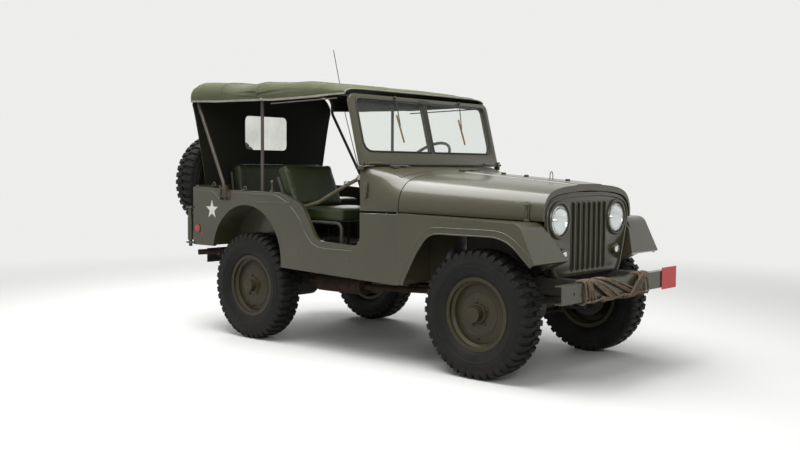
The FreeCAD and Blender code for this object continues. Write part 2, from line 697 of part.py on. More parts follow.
def add_driveline():
    case = rod("y", s.gearbox_radius, s.engine_rear + s.seat_gap, s.gearbox_rear, z=s.gearbox_height)
    transfer = block((s.rail_width - s.rail_half + s.overrun, s.transfer_half), (s.transfer_front, s.transfer_rear),
                     (s.transfer_low, s.transfer_high))
    node("gearbox", fuse(case, transfer))
    node("propeller_shafts", group(
        shaft(s.diff_radius, s.tyre_radius, s.transfer_front, s.shaft_height),
        shaft(s.transfer_rear, s.shaft_height, s.wheelbase - s.diff_radius, s.tyre_radius)))


def shaft(start, start_height, end, end_height):
    """A propeller shaft, level at both ends where its joints are."""
    x = -s.diff_offset
    gap = s.seat_gap
    run = s.shaft_radius * 2
    return pipe([
        spot(x, start + gap, start_height), spot(x, start + gap + run, start_height),
        spot(x, end - gap - run, end_height), spot(x, end - gap, end_height),
    ], s.shaft_radius, s.shaft_radius * 2)


def add_tank():
    node("fuel_tank", block((s.tank_inner, s.tank_outer), (s.tank_front, s.tank_rear),
                            (s.floor_high + s.seat_gap, s.tank_high)))


def add_exhaust():
    """From the engine's right side, under the floor to the muffler, over the rear axle and out behind."""
    side = -s.engine_half - s.pipe_side
    low = s.rail_low - s.pipe_radius * 2 - s.overrun
    under = -s.rail_half - s.muffler_radius - s.overrun
    over = s.pipe_high
    ahead = pipe([
        spot(-s.engine_half - s.seat_gap, s.engine_rear - s.exhaust_start * 2, s.engine_low + s.pipe_side),
        spot(side, s.engine_rear - s.exhaust_start * 2, s.engine_low + s.pipe_side), spot(side, s.engine_rear, low),
        spot(under, s.muffler_front - s.exhaust_start, low), spot(under, s.muffler_front - s.seat_gap, low),
    ], s.pipe_radius, s.pipe_bend)
    muffler = rod("y", s.muffler_radius, s.muffler_front, s.muffler_rear, x=under, z=low)
    behind = pipe([
        spot(under, s.muffler_rear + s.seat_gap, low), spot(under, s.muffler_rear + s.exhaust_start, low),
        spot(under, s.wheelbase - s.exhaust_start, over), spot(under, s.wheelbase + s.exhaust_start, over),
        spot(under - s.pipe_radius, s.box_rear, over), spot(s.pipe_end_x, s.body_rear, s.pipe_end_height),
    ], s.pipe_radius, s.pipe_bend)
    node("exhaust", group(ahead, muffler, behind))


# tub

side_shares = [
    (0.0, 0.0, 0), (0.516, 0.062, 0), (0.885, 0.241, 0), (1.0, 0.241, 0), (1.0, 0.979, 0),
    (0.907, 0.979, 0), (0.803, 0.949, 0), (0.522, 0.936, 0.196), (0.416, 0.812, 0.261),
    (0.344, 0.405, 0.147), (0.244, 0.388, 0), (0.151, 0.380, 0.098), (0.151, 0.739, 0), (0.0, 0.739, 0),
]


def side_panel():
    """The body side, from the fender's seam to the rear, with the door's opening and the wheel's arch."""
    outline = by_shares(side_shares, (s.seam_station + s.seat_gap, s.body_rear - s.seam_station - s.seat_gap),
                        (s.body_low, s.body_top - s.body_low))
    wall = pad("YZ", [outline], s.body_half - s.side_wall, s.body_half)
    arch = rod("x", s.arch_radius, s.body_half - s.side_wall - s.overrun, s.body_half + s.overrun,
               y=s.wheelbase, z=s.arch_height)
    return cut(wall, arch)


def wheel_box(radius, near, far):
    """An arch over the rear wheel, with upright walls below its middle."""
    arch = rod("x", radius, near, far, y=s.wheelbase, z=s.arch_height)
    legs = block((near, far), (s.wheelbase - radius, s.wheelbase + radius), (s.cargo_high - s.floor_wall, s.arch_height + radius / 4))
    top = block((near, far), (s.wheelbase - radius, s.wheelbase + radius), (s.cargo_high - s.floor_wall, s.arch_height + radius))
    return common(arch, top)


def add_tub():
    wall = side_panel()
    node("side_panel_left", wall)
    node("side_panel_right", mirrored(wall))
    half = s.body_half - s.side_wall - s.seat_gap
    floor = pad("YZ", [[
        (s.toe_front, s.toe_high - s.floor_wall, 0), (s.cowl_rear, s.floor_high - s.floor_wall, 0),
        (s.cargo_front + s.floor_wall, s.floor_high - s.floor_wall, 0),
        (s.cargo_front + s.floor_wall, s.cargo_high - s.floor_wall, 0),
        (s.body_rear - s.side_wall - s.seat_gap, s.cargo_high - s.floor_wall, 0),
        (s.body_rear - s.side_wall - s.seat_gap, s.cargo_high, 0), (s.cargo_front, s.cargo_high, 0),
        (s.cargo_front, s.floor_high, 0), (s.cowl_rear, s.floor_high, 0), (s.toe_front, s.toe_high, 0),
    ]], -half, half)
    wells = [block(sorted((s.box_inner * sign - s.seat_gap * sign, (half + s.overrun) * sign), key=float),
                   (s.wheelbase - s.arch_radius - s.sheet_wall - s.seat_gap,
                    s.wheelbase + s.arch_radius + s.sheet_wall + s.seat_gap),
                   (s.floor_high - s.floor_wall * 2, s.cargo_high + s.overrun)) for sign in (-1, 1)]
    column_hole = made(Part.makeCylinder(float(s.column_radius + s.moving_gap), float(s.column_length),
                                         Vector(0, 0, -float(s.column_length))))
    column_hole.Placement = Placement(column_point(0), column_turn())
    node("floor_pan", cut(floor, column_hole, *wells))
    outer = wheel_box(s.arch_radius + s.sheet_wall, s.box_inner, half)
    inner = wheel_box(s.arch_radius, s.box_inner + s.sheet_wall, half + s.overrun)
    node("wheel_boxes", both(cut(outer, inner)))
    inner = s.body_half - s.side_wall - s.seat_gap
    panel = block((-inner, inner), (s.body_rear - s.side_wall, s.body_rear), (s.body_rear_low, s.body_top))
    node("rear_panel", fuse(panel, *post_brackets()))


hood_hinge_station = s.hood_rear + s.moving_gap / 2
hood_hinge_height = s.hood_rear_top + s.hinge_rise


def cowl_sections(grow=0):
    front, rear = s.seam_station + s.overrun / 2, s.door_front
    return [
        (front, s.cowl_half_front + grow, s.belt_height + s.moving_gap, s.hood_rear_top + grow, s.sheet_wall),
        (rear, s.body_half + grow, s.belt_height + s.moving_gap, s.cowl_top + grow, s.sheet_wall),
    ]


def lid_box(gap):
    return block((s.lid_right - gap, s.lid_left + gap), (s.lid_front - gap, s.lid_rear + gap),
                 (s.belt_height + s.overrun * 3, s.cowl_top + s.overrun))


def hinge(middle, station, height, leaf_low):
    """The two halves of a hinge about a pin across the car: its outer barrels and leaves, then its inner ones."""
    half, pin, outer = s.hinge_half, s.hinge_pin_radius, s.hinge_radius
    gap = s.hinge_gap
    bore = rod("x", pin + s.seat_gap, middle - half * 2, middle + half * 2, y=station, z=height)
    barrels = []
    for way in (-1, 1):
        near, far = sorted((middle + half * way, middle + (half / 3 + gap) * way), key=float)
        barrels.append(rod("x", outer, near, far, y=station, z=height))
        barrels.append(block((near, far), (station - s.hinge_leaf, station), (leaf_low, height)))
    front = cut(fuse(*barrels), bore)
    inner = s.hinge_half / 3
    back = fuse(
        rod("x", outer, middle - inner, middle + inner, y=station, z=height),
        block((middle - inner, middle + inner), (station, station + s.hinge_leaf), (leaf_low, height)),
        rod("x", pin, middle - half, middle + half, y=station, z=height))
    return front, back


def add_cowl():
    shell = crowned_shell(cowl_sections(), crown_shares, cowl_shares)
    lid_front, lid_back = hinge(s.lid_hinge_x, s.lid_rear + s.lid_gap / 2, s.lid_hinge_height,
                                s.lid_hinge_height - s.sheet_wall)
    hood_front, hood_back = hinge(0, hood_hinge_station, hood_hinge_height, s.hood_rear_top - s.hood_wall / 2)
    node("battery_lid", fuse(common(shell, lid_box(0)), lid_front))
    opened = cut(shell, lid_box(s.lid_gap))
    inside = [(front, half - s.sheet_wall, low, top - s.sheet_wall)
              for front, half, low, top, wall in cowl_sections()]
    front = inside[0][0]
    filled = crowned_block([[float(value) for value in line] for line in inside], crown_shares, cowl_shares)
    reach = s.body_half + s.overrun
    firewall = common(filled, block((-reach, reach), (front, front + s.sheet_wall), (s.belt_height, s.cowl_top)))
    dash = common(filled, block((-reach, reach), (s.cowl_rear - s.sheet_wall, s.cowl_rear),
                                (s.dash_low, s.cowl_top)))
    wall = s.body_half - s.side_wall - s.seat_gap
    lower = block((-wall, wall), (front, front + s.sheet_wall), (s.toe_high, s.belt_height + s.moving_gap + s.overrun))
    node("cowl", fuse(opened, firewall, dash, lower, lid_back, hood_back))
    return hood_front


# hood, grille and lamps

def hood_sections(wall):
    front, rear = s.hood_front, s.hood_rear
    return [
        (front, s.hood_front_half, s.hood_front_low, s.hood_front_top, wall),
        (rear, s.hood_rear_half, s.hood_rear_low, s.hood_rear_top, wall),
    ]


def add_hood(hinge_half):
    shell = crowned_shell(hood_sections(s.hood_wall), crown_shares)
    lip = crowned_shell(hood_sections((s.hood_lip, s.hood_lip_drop)), crown_shares)
    reach = s.hood_rear_half
    band = common(lip, block((-reach, reach), (s.hood_front, s.hood_front + s.hood_lip_depth),
                             (s.hood_front_low, s.hood_rear_top)))
    node("hood", fuse(shell, band, hinge_half))


def add_grille():
    top = s.grille_top
    half = s.grille_half
    low = s.rail_high + s.seat_gap
    high = top - low
    outline = [(half * a, low + high * b, s.overrun * 2 if a and b < 1 else 0) for a, b in grille_shares]
    outline = outline + [(-across, up, radius) for across, up, radius in outline[::-1]]
    plate = pad("XZ", [outline], s.grille_front, s.grille_front + s.grille_wall)
    holes = []
    for i in range(-3, 4):
        middle = s.slot_pitch * i
        holes.append(block((middle - s.slot_width / 2, middle + s.slot_width / 2),
                           (s.grille_front - s.overrun, s.grille_front + s.grille_wall + s.overrun),
                           (s.slot_low, s.slot_high)))
    for sign in (-1, 1):
        holes.append(rod("y", s.headlamp_radius + s.seat_gap, s.grille_front - s.overrun,
                         s.grille_front + s.grille_wall + s.overrun, x=s.headlamp_x * sign, z=s.headlamp_height))
    node("grille", cut(plate, *holes))
    lamps = []
    front = s.grille_front
    for sign in (-1, 1):
        lamps.append(rod("y", s.headlamp_radius, front - s.rim_wall, front + s.headlamp_depth,
                         x=s.headlamp_x * sign, z=s.headlamp_height))
        lamps.append(rod("y", s.marker_radius, front - s.marker_depth, front - s.seat_gap,
                         x=s.marker_x * sign, z=s.marker_height))
    node("lamps", group(*lamps))


grille_shares = [
    (0.75, 0.0), (0.84, 0.10), (0.98, 0.60), (1.0, 0.72), (0.965, 0.85), (0.86, 0.925), (0.70, 0.963), (0.36, 0.99),
]


# fenders

fender_shares = [
    (1.0, 0.0, 0), (1.0, 1.0, 0), (0.107, 0.932, 0.155), (0.0, 0.439, 0), (0.03, 0.40, 0),
]
fender_inside_shares = [
    (0.985, -0.05, 0), (0.985, 0.972, 0), (0.113, 0.905, 0.14), (0.012, 0.40, 0), (-0.05, -0.05, 0),
]
opening_shares = [
    (0.951, -0.05, 0), (0.94, 0.077, 0), (0.845, 0.459, 0.397), (0.748, 0.751, 0.353), (0.194, 0.751, 0.486),
    (-0.029, 0.283, 0), (-0.029, -0.05, 0),
]


def add_fenders():
    along = (s.fender_tip, s.seam_station - s.fender_tip)
    up = (s.body_low, s.belt_height - s.body_low)
    outer = pad("YZ", [by_shares(fender_shares, along, up)], s.apron_x, s.body_half)
    inner = pad("YZ", [by_shares(fender_inside_shares, along, up)], s.apron_x + s.sheet_wall,
                s.body_half - s.sheet_wall)
    opening = pad("YZ", [by_shares(opening_shares, along, up)], s.apron_x - s.overrun, s.body_half + s.overrun)
    nose = block((s.apron_x - s.overrun, s.grille_half + s.sheet_wall),
                 (s.fender_tip - s.overrun, s.grille_front + s.headlamp_depth + s.overrun),
                 (s.body_low, s.belt_height + s.overrun))
    shell = cut(outer, inner, opening, nose)
    node("fender_left", shell)
    node("fender_right", mirrored(shell))


# windshield

def lean(thing, station, height, angle):
    """Leans a piece back about a line across the car."""
    thing.Placement = Placement(Vector(), Rotation(Vector(1, 0, 0), -float(angle)))
    return put(thing, y=station, z=height)


def raked(shape):
    turn = Placement(spot(0, s.cowl_rear, s.screen_low), Rotation(Vector(1, 0, 0), -float(s.screen_rake)))
    leaning = made(shape)
    leaning.Placement = turn
    return leaning


def add_windshield():
    half, high = float(s.screen_half), float(s.screen_height)
    thick = float(s.screen_thick)
    frame = Part.makeBox(half * 2, thick, high, Vector(-half, 0, 0))
    low, top = float(s.pane_low), float(s.pane_high)
    pane_half, mid = float(s.pane_half), float(s.divider_half)
    panes = []
    for sign in (-1, 1):
        near, far = sorted((mid * sign, pane_half * sign))
        hole = Part.makeBox(far - near, thick * 3, top - low, Vector(near, -thick, low))
        upright = [edge for edge in hole.Edges if abs(edge.Vertexes[0].Y - edge.Vertexes[1].Y) > thick]
        frame = frame.cut(hole.makeFillet(float(s.divider_half), upright))
        gap = float(s.seat_gap)
        glass = Part.makeBox(far - near - gap * 2, float(s.pane_wall), top - low - gap * 2,
                             Vector(near + gap, (thick - float(s.pane_wall)) / 2, low + gap))
        upright = [edge for edge in glass.Edges if abs(edge.Vertexes[0].Y - edge.Vertexes[1].Y) > gap]
        panes.append(glass.makeFillet(float(s.divider_half), upright))
    node("windshield_frame", raked(frame))
    node("windshield_glass", raked(Part.makeCompound(panes)))


# canopy

roof_stations = [
    (0.0, 1.0, 0.25), (0.03, 1.0, 0.36), (0.16, 1.0, 0.57), (0.28, 1.0, 0.70), (0.54, 1.0, 0.80),
    (0.66, 1.0, 0.72), (0.80, 1.0, 0.90), (0.965, 1.0, 1.0), (1.0, 1.0, 0.86),
]
roof_shares = [(1.0, 0.0), (1.0, 0.3), (0.985, 0.62), (0.93, 0.86), (0.80, 0.97), (0.4, 1.0), (0.0, 1.01)]


def roof_sections(wall):
    lean_angle = math.radians(float(s.screen_rake))
    start = s.cowl_rear + s.screen_height * math.sin(lean_angle) + s.screen_thick * math.cos(lean_angle) + s.seat_gap
    run = s.body_rear + s.seat_gap + s.curtain_wall - start
    rise = s.roof_high - s.roof_skirt
    return [(start + run * a, s.roof_half * b, s.roof_skirt, s.roof_skirt + rise * c, wall)
            for a, b, c in roof_stations]


def add_canopy():
    sections = roof_sections(s.roof_wall)
    node("canopy_top", crowned_shell(sections, roof_shares))
    rear = s.body_rear + s.seat_gap + s.curtain_wall
    inset = s.roof_wall + s.seat_gap
    rise = (s.roof_high - s.roof_skirt) * roof_stations[-1][2] - inset
    top_right = [((s.roof_half - inset) * a, s.roof_skirt + rise * b, 0) for a, b in roof_shares[:-1]]
    top_left = [(-across, up, 0) for across, up, radius in top_right[::-1]]
    foot = s.curtain_low_half
    sheet_shape = pad("XZ", [[(-foot, s.curtain_low, 0), (foot, s.curtain_low, 0)] + top_right + top_left],
                      rear - s.curtain_wall, rear)
    hole = pad("XZ", [[
        (-s.window_half, s.window_low, s.window_radius), (s.window_half, s.window_low, s.window_radius),
        (s.window_half, s.window_high, s.window_radius), (-s.window_half, s.window_high, s.window_radius),
    ]], rear - s.curtain_wall * 2, rear + s.curtain_wall)
    node("rear_curtain", cut(sheet_shape, hole))
    gap = s.seat_gap
    node("curtain_window", pad("XZ", [[
        (-s.window_half + gap, s.window_low + gap, s.window_radius), (s.window_half - gap, s.window_low + gap, s.window_radius),
        (s.window_half - gap, s.window_high - gap, s.window_radius), (-s.window_half + gap, s.window_high - gap, s.window_radius),
    ]], rear - s.curtain_wall * 2 / 3, rear - s.curtain_wall / 3))


def add_bows():
    out = s.body_half + s.bow_radius + s.seat_gap
    top_half = s.roof_half - s.roof_wall - s.bow_radius * 2
    rear_top = s.rear_bow_top_station
    high = s.bow_top + s.overrun * 2
    rear = pipe([
        spot(-out, s.rear_bow_station, s.rear_bow_height),
        spot(-out, s.rear_bow_station, s.body_top + s.bow_radius), spot(-top_half, rear_top, s.roof_skirt),
        spot(-top_half, rear_top, high), spot(top_half, rear_top, high), spot(top_half, rear_top, s.roof_skirt),
        spot(out, s.rear_bow_station, s.body_top + s.bow_radius), spot(out, s.rear_bow_station, s.rear_bow_height),
    ], s.bow_radius, s.bow_corner)
    foot = s.body_half - s.side_wall - s.bow_radius - s.seat_gap
    station = s.front_bow_station
    front = pipe([
        spot(-foot, station, s.front_bow_low), spot(-foot, station, s.bow_top), spot(foot, station, s.bow_top),
        spot(foot, station, s.front_bow_low),
    ], s.bow_radius, s.bow_corner)
    node("top_bows", group(rear, front))


# seats

def leaning_back(low_x, high_x, station, height, tall):
    thick = float(s.cushion_thick)
    back = Part.makeBox(float(high_x - low_x), thick, float(tall))
    piece = made(back.makeFillet(thick * 0.3, back.Edges))
    piece.Placement = Placement(spot(low_x, station, height), Rotation(Vector(1, 0, 0), -float(s.back_lean)))
    return piece


def seat_frame(x, front, rear, cushion_high, back_low, floor, lean, tall):
    """A bent tube: up from the floor, back under the cushion and up behind the backrest, with a rear leg."""
    angle = math.radians(float(lean))
    behind = s.cushion_thick + s.frame_tube + s.seat_gap
    high = cushion_high - s.cushion_thick - s.frame_tube - s.seat_gap
    foot_y = rear + s.back_rise + behind * math.cos(angle)
    foot_z = back_low - behind * math.sin(angle)
    down = (foot_z - high) / math.cos(angle)
    up = tall * 0.8
    low = floor + s.seat_gap
    rail = pipe([
        spot(x, front + s.overrun, low), spot(x, front + s.overrun, high),
        spot(x, foot_y - down * math.sin(angle), high),
        spot(x, foot_y + up * math.sin(angle), foot_z + up * math.cos(angle)),
    ], s.frame_tube, s.frame_tube * 4)
    leg = rod("z", s.frame_tube, low, high, x=x, y=rear - s.overrun * 2)
    return fuse(rail, leg)


def add_seats():
    for side, sign in sides.items():
        low_x, high_x = sorted((s.seat_inner * sign, s.seat_outer * sign), key=float)
        cushion = block((low_x, high_x), (s.seat_front, s.seat_rear - s.overrun),
                        (s.seat_high - s.cushion_thick, s.seat_high))
        back = leaning_back(low_x, high_x, s.seat_rear + s.back_rise, s.seat_high, s.back_height)
        node(f"seat_{side}", group(cushion, back))
    cushion = block((-s.bench_half, s.bench_half), (s.bench_front, s.bench_rear - s.overrun),
                    (s.bench_high - s.cushion_thick, s.bench_high))
    back = leaning_back(-s.bench_half, s.bench_half, s.bench_rear + s.back_rise, s.bench_high - s.cushion_thick / 2,
                        s.bench_back_height)
    back.Placement = Placement(spot(-s.bench_half, s.bench_rear + s.back_rise, s.bench_high - s.cushion_thick / 2),
                               Rotation(Vector(1, 0, 0), -float(s.back_lean) / 3))
    node("rear_seat", group(cushion, back))
    frames = []
    for sign in (-1, 1):
        for x in (s.seat_inner + s.overrun, s.seat_outer - s.overrun):
            frames.append(seat_frame(x * sign, s.seat_front, s.seat_rear, s.seat_high, s.seat_high, s.floor_high,
                                     s.back_lean, s.back_height))
        frames.append(seat_frame((s.bench_half - s.overrun) * sign, s.bench_front, s.bench_rear, s.bench_high,
                                 s.bench_high - s.cushion_thick / 2, s.cargo_high, s.back_lean / 3,
                                 s.bench_back_height))
    node("seat_frames", group(*frames))


# steering wheel and its column

def column_point(length):
    """A point on the steering column's axis, this far below the wheel."""
    lean_angle = math.radians(float(s.column_lean))
    down = Vector(0, -math.sin(lean_angle), -math.cos(lean_angle))
    return spot(s.column_x, s.wheel_station, s.wheel_height) + down * float(length)


def column_turn():
    return Rotation(Vector(1, 0, 0), -float(s.column_lean))


def add_steering():
    ring = Part.makeTorus(float(s.wheel_radius), float(s.grip_radius))
    boss = Part.makeCylinder(float(s.boss_of_wheel_radius), float(s.boss_of_wheel_depth),
                             Vector(0, 0, -float(s.boss_of_wheel_depth)))
    wheel = ring.fuse(boss)
    for i in range(3):
        angle = math.radians(90 + 120 * i)
        way = Vector(math.cos(angle), math.sin(angle), 0)
        drop = Vector(0, 0, -float(s.boss_of_wheel_depth) / 2)
        spoke = Part.makeCylinder(float(s.spoke_radius), float(s.wheel_radius), drop, way * float(s.wheel_radius) - drop)
        wheel = wheel.fuse(spoke)
    wheel_piece = made(wheel.removeSplitter())
    wheel_piece.Placement = Placement(column_point(0), column_turn())
    node("steering_wheel", wheel_piece)
    depth = float(s.boss_of_wheel_depth) + float(s.seat_gap)
    column = Part.makeCylinder(float(s.column_radius), float(s.column_length) - depth,
                               Vector(0, 0, -float(s.column_length)))
    piece = made(column)
    piece.Placement = Placement(column_point(0), column_turn())
    end = s.wheel_station - s.column_length * math.sin(math.radians(float(s.column_lean)))
    low = s.wheel_height - s.column_length * math.cos(math.radians(float(s.column_lean)))
    wide = s.boss_of_wheel_radius * 2
    box = block((s.rail_half + s.seat_gap, s.column_x + wide), (end - wide, end + wide), (low - wide, low + wide / 2))
    node("steering_column", fuse(piece, box))


# spare wheel, carrier and antenna

def add_spare():
    """The spare wheel on a plate that swings on a post at the body's right rear corner."""
    turn = Rotation(Vector(0, 0, 1), 90)
    for label, outline in (("spare_tyre", tyre_outline()), ("spare_rim", rim_outline())):
        piece = turned(outline)
        piece.Placement = Placement(Vector(), turn)
        node(label, put(piece, s.spare_x, s.spare_station, s.spare_height))
    x, station = s.post_x, s.post_station
    post = rod("z", s.post_radius, s.post_low, s.post_high, x=x, y=station)
    plate_front = station - s.carrier_plate
    half = s.carrier_plate_radius
    plate = pad("XZ", [[
        (x, s.post_low + s.post_bracket * 4, 0), (s.spare_x + half, s.spare_height - half, half / 4),
        (s.spare_x + half, s.spare_height + half, half / 4), (s.spare_x - half, s.spare_height + half, half / 4),
        (x, s.post_high - s.post_bracket * 6, 0),
    ]], plate_front, plate_front + s.carrier_plate)
    disc = s.spare_station + s.disc_offset + s.disc_dish - s.rim_wall - s.seat_gap
    boss = rod("y", s.hub_face_radius - s.rim_wall, plate_front, disc, x=s.spare_x, z=s.spare_height)
    sleeve = rod("z", s.post_radius + s.carrier_plate, s.post_low + s.post_bracket * 4, s.post_high - s.post_bracket * 6,
                 x=x, y=station)
    node("spare_carrier", fuse(post, sleeve, plate, boss))


def post_brackets():
    """The plates on the body that hold the spare carrier's post."""
    x, station = s.post_x, s.post_station
    around = s.post_radius * 2
    plates = []
    for low in (s.post_low + s.post_bracket * 2, s.post_high - s.post_bracket / 2):
        plate = pad("XY", [[
            (x - around, s.body_rear, 0), (x + around * 1.2, s.body_rear, 0), (x + around, station + around, around / 2),
            (x - around, station + around, around / 2),
        ]], low, low + s.post_bracket)
        plates.append(cut(plate, rod("z", s.post_radius + s.seat_gap, low - s.overrun, low + s.overrun * 2,
                                     x=x, y=station)))
    return plates


def add_antenna():
    """A whip on a short spring base, leaning back from a bracket on the left side."""
    low, high = s.antenna_low, s.antenna_high
    station, x = s.antenna_station, s.antenna_x
    base = rod("z", s.antenna_base_radius, low, low + s.antenna_base_height, x=x, y=station)
    arm = block((s.body_half + s.seat_gap, x), (station - s.antenna_base_radius, station + s.antenna_base_radius),
                (low, low + s.antenna_base_radius))
    rise = high - low - s.antenna_base_height
    whip = pipe([
        spot(x, station, low + s.antenna_base_height / 2), spot(x, station, low + s.antenna_base_height),
        spot(x, station + s.antenna_lean * 0.57, low + s.antenna_base_height + rise / 2),
        spot(x, station + s.antenna_lean, high),
    ], s.antenna_radius, s.antenna_bend)
    node("antenna", fuse(base, arm, whip))


def write_parts():
    """Recomputes, checks every object and writes each sub-part's file."""
    doc.recompute()
    failed = [thing.Label for thing in doc.Objects if {"Invalid", "Error"} & set(thing.State)]
    failed += [piece.Label for piece in nodes if piece.Shape.isNull() or not piece.Shape.isValid()]
    if failed:
        raise RuntimeError(f"These did not build: {failed}")
    os.makedirs("parts", exist_ok=True)
    for piece in nodes:
        piece.Shape.exportStep(os.path.join("parts", f"{piece.Label}.step"))
    print(f"{len(nodes)} sub-parts written")


add_frame()
add_springs()
add_front_axle()
add_rear_axle()
for side, sign in sides.items():
    node(f"knuckle_{side}", knuckle(sign))
add_tie_rod()
add_wheels()
add_front_bumper()
add_bumper_rope()
add_bumperettes()
add_pintle()
add_engine()
add_driveline()
add_tank()
add_exhaust()
add_tub()
add_hood(add_cowl())
add_grille()
add_fenders()
add_windshield()
add_canopy()
add_bows()
add_seats()
add_steering()
add_spare()
add_antenna()
write_parts()
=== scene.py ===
import math
import random
from types import SimpleNamespace
import bmesh
import bpy
import numpy as np
from mathutils import Matrix, Vector
from mathutils.geometry import tessellate_polygon


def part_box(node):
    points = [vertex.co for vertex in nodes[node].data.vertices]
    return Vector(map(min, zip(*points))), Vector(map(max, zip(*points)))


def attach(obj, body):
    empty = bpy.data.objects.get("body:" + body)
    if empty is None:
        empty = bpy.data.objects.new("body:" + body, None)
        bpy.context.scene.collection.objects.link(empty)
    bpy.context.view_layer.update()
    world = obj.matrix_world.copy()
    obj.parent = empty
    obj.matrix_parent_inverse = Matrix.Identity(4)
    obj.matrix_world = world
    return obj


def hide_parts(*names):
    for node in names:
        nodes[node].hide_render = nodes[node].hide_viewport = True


# A light army 4x4 car with a canvas top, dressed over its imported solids.
# Lengths in the settings are millimetres. Every Y is measured from the front axle towards the rear,
# X grows to the car's left and Z up from the ground.

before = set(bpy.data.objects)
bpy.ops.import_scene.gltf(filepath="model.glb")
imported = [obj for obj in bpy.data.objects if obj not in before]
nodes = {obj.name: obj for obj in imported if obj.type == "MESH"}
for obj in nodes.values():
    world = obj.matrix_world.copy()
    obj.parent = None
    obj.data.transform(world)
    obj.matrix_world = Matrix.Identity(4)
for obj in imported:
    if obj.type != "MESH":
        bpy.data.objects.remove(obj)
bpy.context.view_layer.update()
scene = bpy.context.scene
frontAxle = sum(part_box("tyre_front_right"), Vector())[1] / 2
carSides = {"right": -1, "left": 1}
print("scene: frame loaded,", len(nodes), "nodes")


def spot(x, y, z):
    return Vector((x / 1000, frontAxle + y / 1000, z / 1000))


def linked(name, data):
    thing = bpy.data.objects.new(name, data)
    scene.collection.objects.link(thing)
    return thing


def meshOf(points, faces):
    mesh = bpy.data.meshes.new("made")
    mesh.from_pydata([tuple(p) for p in points], [], faces)
    mesh.validate()
    return mesh


# camera

cameraSettings = {
    "place": (-5192.2, -3406.4, 1233.4), "azimuth": -48.356, "elevation": 3.268, "roll": 0.304,
    "focalPixels": 961.9, "photoWidth": 800, "sensor": 36.0, "reach": 200,
}


def addCamera(place, azimuth, elevation, roll, focalPixels, photoWidth, sensor, reach):
    az, el, tilt = (math.radians(angle) for angle in (azimuth, elevation, roll))
    back = Vector((math.sin(az) * math.cos(el), -math.cos(az) * math.cos(el), math.sin(el)))
    right = Vector((math.cos(az), math.sin(az), 0))
    up = back.cross(right)
    right, up = right * math.cos(tilt) + up * math.sin(tilt), up * math.cos(tilt) - right * math.sin(tilt)
    data = bpy.data.cameras.new("photoCamera")
    data.sensor_width, data.lens, data.clip_end = sensor, focalPixels * sensor / photoWidth, reach
    camera = linked("photoCamera", data)
    camera.matrix_world = Matrix.Translation(spot(*place)) @ Matrix((right, up, back)).transposed().to_4x4()
    scene.camera = camera


addCamera(**cameraSettings)


# nodes of shaders and of geometry

def fill(tree, node, inputs):
    # an input takes a value, or a link where a socket is given
    for key, value in dict(inputs).items():
        socket = node.inputs[key]
        if isinstance(value, bpy.types.NodeSocket):
            tree.links.new(value, socket)
        else:
            socket.default_value = (*value, 1) if socket.type == "RGBA" else value


def add(tree, kind, inputs=(), out=0, **options):
    node = tree.nodes.new(kind if kind.startswith("Geometry") else "ShaderNode" + kind)
    for key, value in options.items():
        setattr(node, key, value)
    fill(tree, node, inputs)
    return node.outputs[out] if node.outputs else node


def objectPlace(tree):
    return add(tree, "TexCoord", out="Object")


def cloudy(tree, scale, detail=4.0, roughness=0.55):
    inputs = {"Scale": scale, "Detail": detail, "Roughness": roughness, "Vector": objectPlace(tree)}
    return add(tree, "TexNoise", inputs, "Fac")


def ranged(tree, value, low, high, toLow=0.0, toHigh=1.0):
    inputs = {"Value": value, "From Min": low, "From Max": high, "To Min": toLow, "To Max": toHigh}
    return add(tree, "MapRange", inputs, "Result")


def sums(tree, kind, first, second):
    return add(tree, "Math", {0: first, 1: second}, operation=kind)


def blended(tree, factor, first, second):
    # the mix node keeps its colour sockets after those for numbers and vectors
    return add(tree, "Mix", {"Factor": factor, 6: first, 7: second}, 2, data_type="RGBA")


def bumped(tree, height, strength, distance, normal=None):
    inputs = {"Strength": strength, "Distance": distance, "Height": height}
    return add(tree, "Bump", inputs if normal is None else {**inputs, "Normal": normal})


def heightOf(tree):
    return add(tree, "SeparateXYZ", {0: objectPlace(tree)}, "Z")


def skin(tree, inputs):
    fill(tree, tree.nodes["Principled BSDF"], inputs)


def surfaced(tree, share, under, over):
    mixed = add(tree, "MixShader", {0: share, 1: under, 2: over})
    fill(tree, tree.nodes["Material Output"], {"Surface": mixed})


def newMaterial(name):
    material = bpy.data.materials.new(name)
    material.use_nodes = True
    return material, material.node_tree


# studio

studioSettings = {
    "floorColor": (0.70, 0.70, 0.69), "bounceColor": (0.34, 0.33, 0.31), "floorRadius": 70, "floorSides": 96,
    "floorRough": 0.75, "floorGloss": 0.2, "skyColor": (0.85, 0.85, 0.84), "worldStrength": 0.34,
    "cameraStrength": 1.0, "fade": (2.8, 8.0),
    # place, point that it faces, size, power
    "lamps": {"overhead": ((-0.8, 0.6, 4.6), (0, 0.2, 0.8), (6.0, 3.4), 430),
              "frontLeft": ((-4.2, -5.2, 3.4), (0, 0, 0.9), (3.0, 2.2), 130),
              "rear": ((3.6, 4.8, 3.6), (0, 0, 1.0), (3.0, 2.0), 120)},
}


def addWorld(skyColor, worldStrength, cameraStrength):
    world = bpy.data.worlds.new("studio")
    scene.world = world
    world.use_nodes = True
    tree = world.node_tree
    tree.nodes.clear()
    seen = 0
    for ray in ("Camera", "Transmission", "Glossy"):
        seen = sums(tree, "MAXIMUM", seen, add(tree, "LightPath", out=f"Is {ray} Ray"))
    lighting = add(tree, "Background", {"Color": (1, 1, 1), "Strength": worldStrength})
    sky = add(tree, "Background", {"Color": skyColor, "Strength": cameraStrength})
    add(tree, "OutputWorld", {"Surface": add(tree, "MixShader", {0: seen, 1: lighting, 2: sky})})


